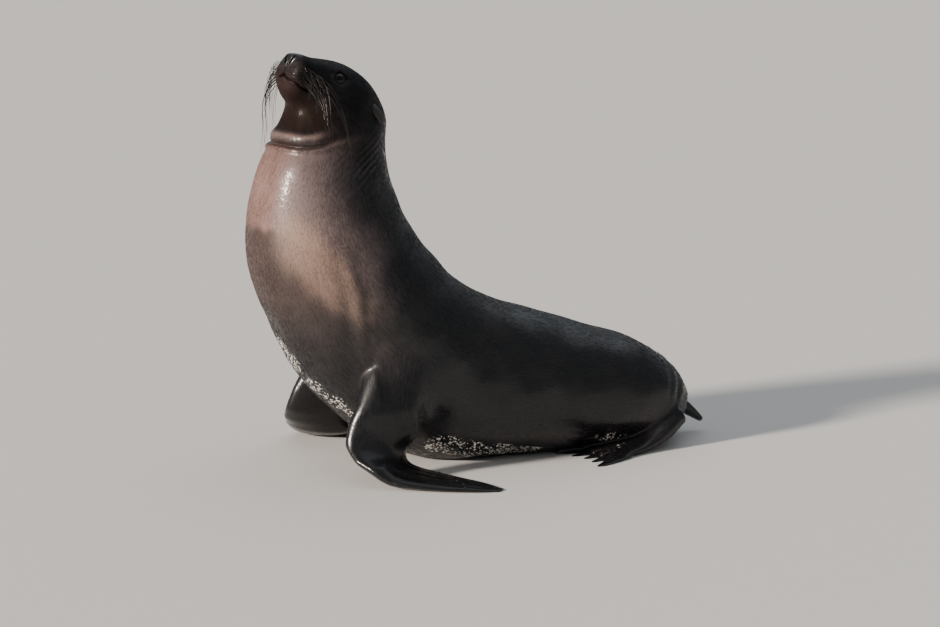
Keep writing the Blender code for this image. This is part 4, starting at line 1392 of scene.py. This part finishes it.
def hanging(root, way, length, droop, sway):
    """Places along a bristle that springs out from its root, bends down and sways to one side."""
    places, step = [root - way * ROOT_DEPTH], length / (WHISKER_RINGS - 2)
    for i in range(WHISKER_RINGS - 1):
        share = i / (WHISKER_RINGS - 2)
        hang = share**HANG_POWER * droop * min(1, length / LIMP_LENGTH)
        spring = way * (1 - share) ** FADE_POWER
        heading = unit(spring + np.array((0, 0, -1)) * hang + sway * share)
        places.append(places[-1] + heading * (ROOT_DEPTH if i == 0 else step))
        hit, normal = surface.find_nearest(Vector(places[-1]))[:2]
        height = (Vector(places[-1]) - hit).dot(normal)
        if i > 1 and height < WHISKER_CLEARANCE:
            places[-1] = places[-1] + np.array(normal) * (WHISKER_CLEARANCE - height)
    return np.array(places)


def bristle_tube(places, root_radius):
    """Rings along a bristle, thick at the root and fine at the tip."""
    ways = np.gradient(places, axis=0)
    ways /= np.linalg.norm(ways, axis=1)[:, None]
    sides = np.cross(ways, unit((0.3, 0.5, 0.1)))
    sides /= np.linalg.norm(sides, axis=1)[:, None]
    tops = np.cross(ways, sides)
    radii = np.linspace(root_radius, WHISKER_TIP_RADIUS, len(places))
    turn = np.linspace(0, 2 * math.pi, WHISKER_SIDES, endpoint=False)
    ring = np.cos(turn)[None, :, None] * sides[:, None] + np.sin(turn)[None, :, None] * tops[:, None]
    return places[:, None] + ring * radii[:, None, None]


for name, side in SIDES.items():
    tubes, paleness_and_root_shade = [], []
    sways = rng.normal(0, BUNCH_SWAY, (BUNCHES, 3)) * (1, 1, 0)
    leaders = {}
    down_length = np.linspace(0, 1, WHISKER_RINGS)
    for behind, above, back, low in follicles():
        start = moved(np.array((side * BESIDE_HEAD, behind, above)), HEAD)
        hit, normal = surface.ray_cast(Vector(start), Vector(-side * HEAD[:3, 0]))[:2]
        spring = unit((side, SWEPT_AHEAD[name] + SPRING_BACK * back, SPRING_UP - SPRING_DOWN * low))
        way = unit(np.array(normal) * SPRING_OUT + HEAD[:3, :3] @ spring)
        full = WHISKER_SHORTEST + (WHISKER_LONGEST - WHISKER_SHORTEST) * back**LENGTH_POWER
        length = full * (1 - TOP_SHORTER * (1 - low) ** 2) * rng.uniform(*LENGTH_VARIES)
        bunch = int(back * (BUNCHES - 1))
        sway = sways[bunch] + rng.normal(0, OWN_SWAY, 3)
        places = hanging(np.array(hit), way, length, rng.uniform(*DROOP_VARIES), sway)
        # The water draws each bunch together towards its tips
        leader = leaders.setdefault(bunch, places)
        cling = CLINGING * smooth_step(*CLINGING_FROM, down_length)
        places = places + (leader - places) * cling[:, None]
        thickness = (length - WHISKER_SHORTEST) / WHISKER_LONGEST
        tubes.append(bristle_tube(places, np.interp(thickness, (0, 1), WHISKER_RADII)))
        most = PALE_MOST if rng.random() < PALE_SHARE else DARK_MOST
        # Near the root each bristle's paleness is held back: painted shade
        paleness_and_root_shade.append(np.repeat(most * smooth_step(*ROOT_SHADE_ENDS, down_length), WHISKER_SIDES))
    mesh = joined_tubes(f"whiskers_{name}", tubes)
    mark(mesh, "paleness_and_root_shade", np.concatenate(paleness_and_root_shade))
    new_piece(f"whiskers_{name}", mesh, bristle, "coat")


# ---------------------------------------------------------------------------------------------
# The coat: short guard hairs clumped by water into thin flat tufts, which overlap and lie along
# the body. They are smallest on the face and feet, and the nose pad and palms have none.

TUFT_PER_AREA = 95000.0
TUFT_LENGTH, TUFT_WIDTH = 0.0110, 0.0010
TUFT_LIFT = math.radians(2.6)
# How much smaller tufts are on the head, on the face besides, on the limbs and in the fold
SMALLER_HEAD, SMALLER_FACE, SMALLER_LIMB, SMALLER_FOLD = 0.45, 0.28, 0.45, 0.5
FACE_BACK, FACE_FOOT = (0.03, 0.12), (-0.12, -0.09)
# Where none grow: on naked skin, on the nose and lid rims, in the eye sockets and in the mouth
NAKED_GAIN, NOSE_GAIN, SOCKET_EDGE, MOUTH_HALF = 1.4, 3, 0.0008, 0.003
# Wet points stand out on the cheeks and chin, and on the neck above the shoulder
RUFFLED = (
    ((0.055, 0.075, -0.035), (0.040, 0.060, 0.045)),
    ((0.100, 0.210, -0.130), (0.050, 0.050, 0.090)),
)
RUFFLE_LIFT = 1.8
# How tufts vary: the way they lie, their size and their lift
WAY_VARIES, SIZE_VARIES, LIFT_VARIES = 0.10, (0.7, 1.25), (0.3, 1.6)
# A tuft's ridge: its height to the width, and how far along it is highest
TUFT_RIDGE, RIDGE_ALONG = 0.16, 0.25
# How far a tuft's sides turn from the skin's own slope, so that the coat shades as one
TUFT_ROUNDING, TIP_LEAN = 0.20, 0.3
TUFT_SINK = 0.0004
TUFT_FACES = np.array(((1, 0, 2), (3, 1, 2), (0, 3, 2), (0, 1, 3)))
MOST_TRIANGLES = 190000
# The unwrap: the body in a wide band, the limbs in narrow ones beside it, as start and breadth.
# Each limb's length is mapped to this, and the edges of the map are left free
BODY_BAND, LIMB_BAND, BAND_STEP = (0.02, 0.62), (0.66, 0.06), 0.07
LIMB_SPAN, MAP_EDGES = 0.60, (0.003, 0.994)
MAP_PATCH = 0.003 * np.array(((0, 0), (1, 0), (0.5, 0.4), (0.5, 1)))

mesh = skin.data
mesh.calc_loop_triangles()
corners = read(mesh.loop_triangles, "vertices", np.int32, 3)
points, normals = points_of(mesh), normals_of(mesh)
local = moved(points, TO_HEAD)
mirrored = folded_over(local)
of_face = (1 - smooth_step(*FACE_BACK, local[:, 1])) * smooth_step(*FACE_FOOT, local[:, 2])
bare = np.clip(naked * NAKED_GAIN + nose * NOSE_GAIN, 0, 1)
in_socket = np.zeros(len(points))
for eye in EYES.values():
    in_socket = np.maximum(in_socket, np.linalg.norm(points - eye, axis=1) < EYE_RADIUS + SOCKET_EDGE)
off_mouth = np.abs(local[:, 2] - np.interp(local[:, 1], *np.transpose(MOUTH_LINE)))
in_mouth = (off_mouth < MOUTH_HALF) * of_face
size = 1 - SMALLER_HEAD * of_head - SMALLER_FACE * of_face
size = size * (1 - SMALLER_LIMB * np.clip(limb, 0, 1)) * (1 - SMALLER_FOLD * creased)
keep = (1 - bare) * (1 - in_socket) * (1 - np.clip(in_mouth, 0, 1)) / size**1.7

first, second, third = [points[corners[:, i]] for i in range(3)]
areas = np.linalg.norm(np.cross(second - first, third - first), axis=1) / 2
weights = areas * keep[corners].mean(axis=1) * TUFT_PER_AREA
count = int(weights.sum())
chosen = rng.choice(len(corners), count, p=weights / weights.sum())
u, v = rng.random(count), rng.random(count)
u, v = np.where(u + v > 1, 1 - u, u), np.where(u + v > 1, 1 - v, v)
corner_shares = np.stack([1 - u - v, u, v], axis=1)


def at_roots(values):
    """The skin's values at the root of each tuft."""
    picked = values[corners[chosen]]
    by = corner_shares if values.ndim == 1 else corner_shares[:, :, None]
    return (picked * by).sum(axis=1)


roots, root_normals, ways = at_roots(points), at_roots(normals), at_roots(lie_way)
root_normals /= np.linalg.norm(root_normals, axis=1)[:, None]
ways = ways + rng.normal(0, WAY_VARIES, ways.shape)
ways -= root_normals * (ways * root_normals).sum(axis=1)[:, None]
ways /= np.linalg.norm(ways, axis=1)[:, None].clip(1e-6)
asides = np.cross(root_normals, ways)
sizes = at_roots(size) * rng.uniform(*SIZE_VARIES, count)
lengths, widths = TUFT_LENGTH * sizes, TUFT_WIDTH * sizes**0.6
ruffles = at_roots(np.maximum.reduce([mound(mirrored, *place) for place in RUFFLED]))
lifts = TUFT_LIFT * rng.uniform(*LIFT_VARIES, count) * (1 + RUFFLE_LIFT * ruffles)
feet = roots - root_normals * TUFT_SINK
tip_rise, ridge_rise = lengths * np.sin(lifts) + TUFT_SINK, TUFT_SINK + TUFT_RIDGE * widths
tips = feet + ways * lengths[:, None] + root_normals * tip_rise[:, None]
ridge = feet + root_normals * ridge_rise[:, None] + ways * (RIDGE_ALONG * lengths)[:, None]
half_widths = asides * widths[:, None] / 2
places = np.stack([feet - half_widths, feet + half_widths, ridge, tips], axis=1)
places[..., 2] = places[..., 2].clip(FLOOR_GAP)
leans = np.stack([-asides, asides, 0 * asides, TIP_LEAN * ways], axis=1) * TUFT_ROUNDING
leans = leans * (1 + ruffles)[:, None, None]
shading = root_normals[:, None] + leans
shading /= np.linalg.norm(shading, axis=2)[:, :, None]

body_turn = np.arctan2(at_roots(np.sin(angle)), at_roots(np.cos(angle)))
unwrap_u = at_roots(along) / along.max()
unwrap_v = BODY_BAND[0] + BODY_BAND[1] * (body_turn / (2 * math.pi) + 0.5)
for number, (limb_name, near) in enumerate(of_limb.items()):
    on_limb = at_roots(near) > 0.5
    limb_along, limb_angle = limb_place[limb_name]
    limb_turn = np.arctan2(at_roots(np.sin(limb_angle)), at_roots(np.cos(limb_angle)))
    band = LIMB_BAND[0] + BAND_STEP * number
    unwrap_u = np.where(on_limb, at_roots(limb_along) / LIMB_SPAN, unwrap_u)
    unwrap_v = np.where(on_limb, band + LIMB_BAND[1] * (limb_turn / (2 * math.pi) + 0.5), unwrap_v)
root_map = np.stack([unwrap_u, unwrap_v], axis=1).clip(*MAP_EDGES)

order = np.argsort(at_roots(along), kind="stable")
per_piece = MOST_TRIANGLES // len(TUFT_FACES)
pieces = np.array_split(order, len(order) // per_piece + 1)
marks_at_roots = {name: at_roots(values) for name, values in MARKINGS.items()}
corner_count = places.shape[1]
for number, members in enumerate(pieces):
    faces = (TUFT_FACES[None] + np.arange(len(members))[:, None, None] * corner_count).reshape(-1, 3)
    mesh = mesh_from(f"coat_{number}", places[members].reshape(-1, 3), faces)
    for name, values in marks_at_roots.items():
        mark(mesh, name, np.repeat(values[members], corner_count, axis=0))
    layer = mesh.uv_layers.new(name="OFBake")
    spots = (root_map[members][:, None] + MAP_PATCH).reshape(-1, 2)[faces.ravel()]
    layer.uv.foreach_set("vector", spots.astype(np.float32).ravel())
    new_piece(f"coat_{number}", mesh, wet_coat, "coat")
    mesh.normals_split_custom_set_from_vertices(shading[members].reshape(-1, 3))
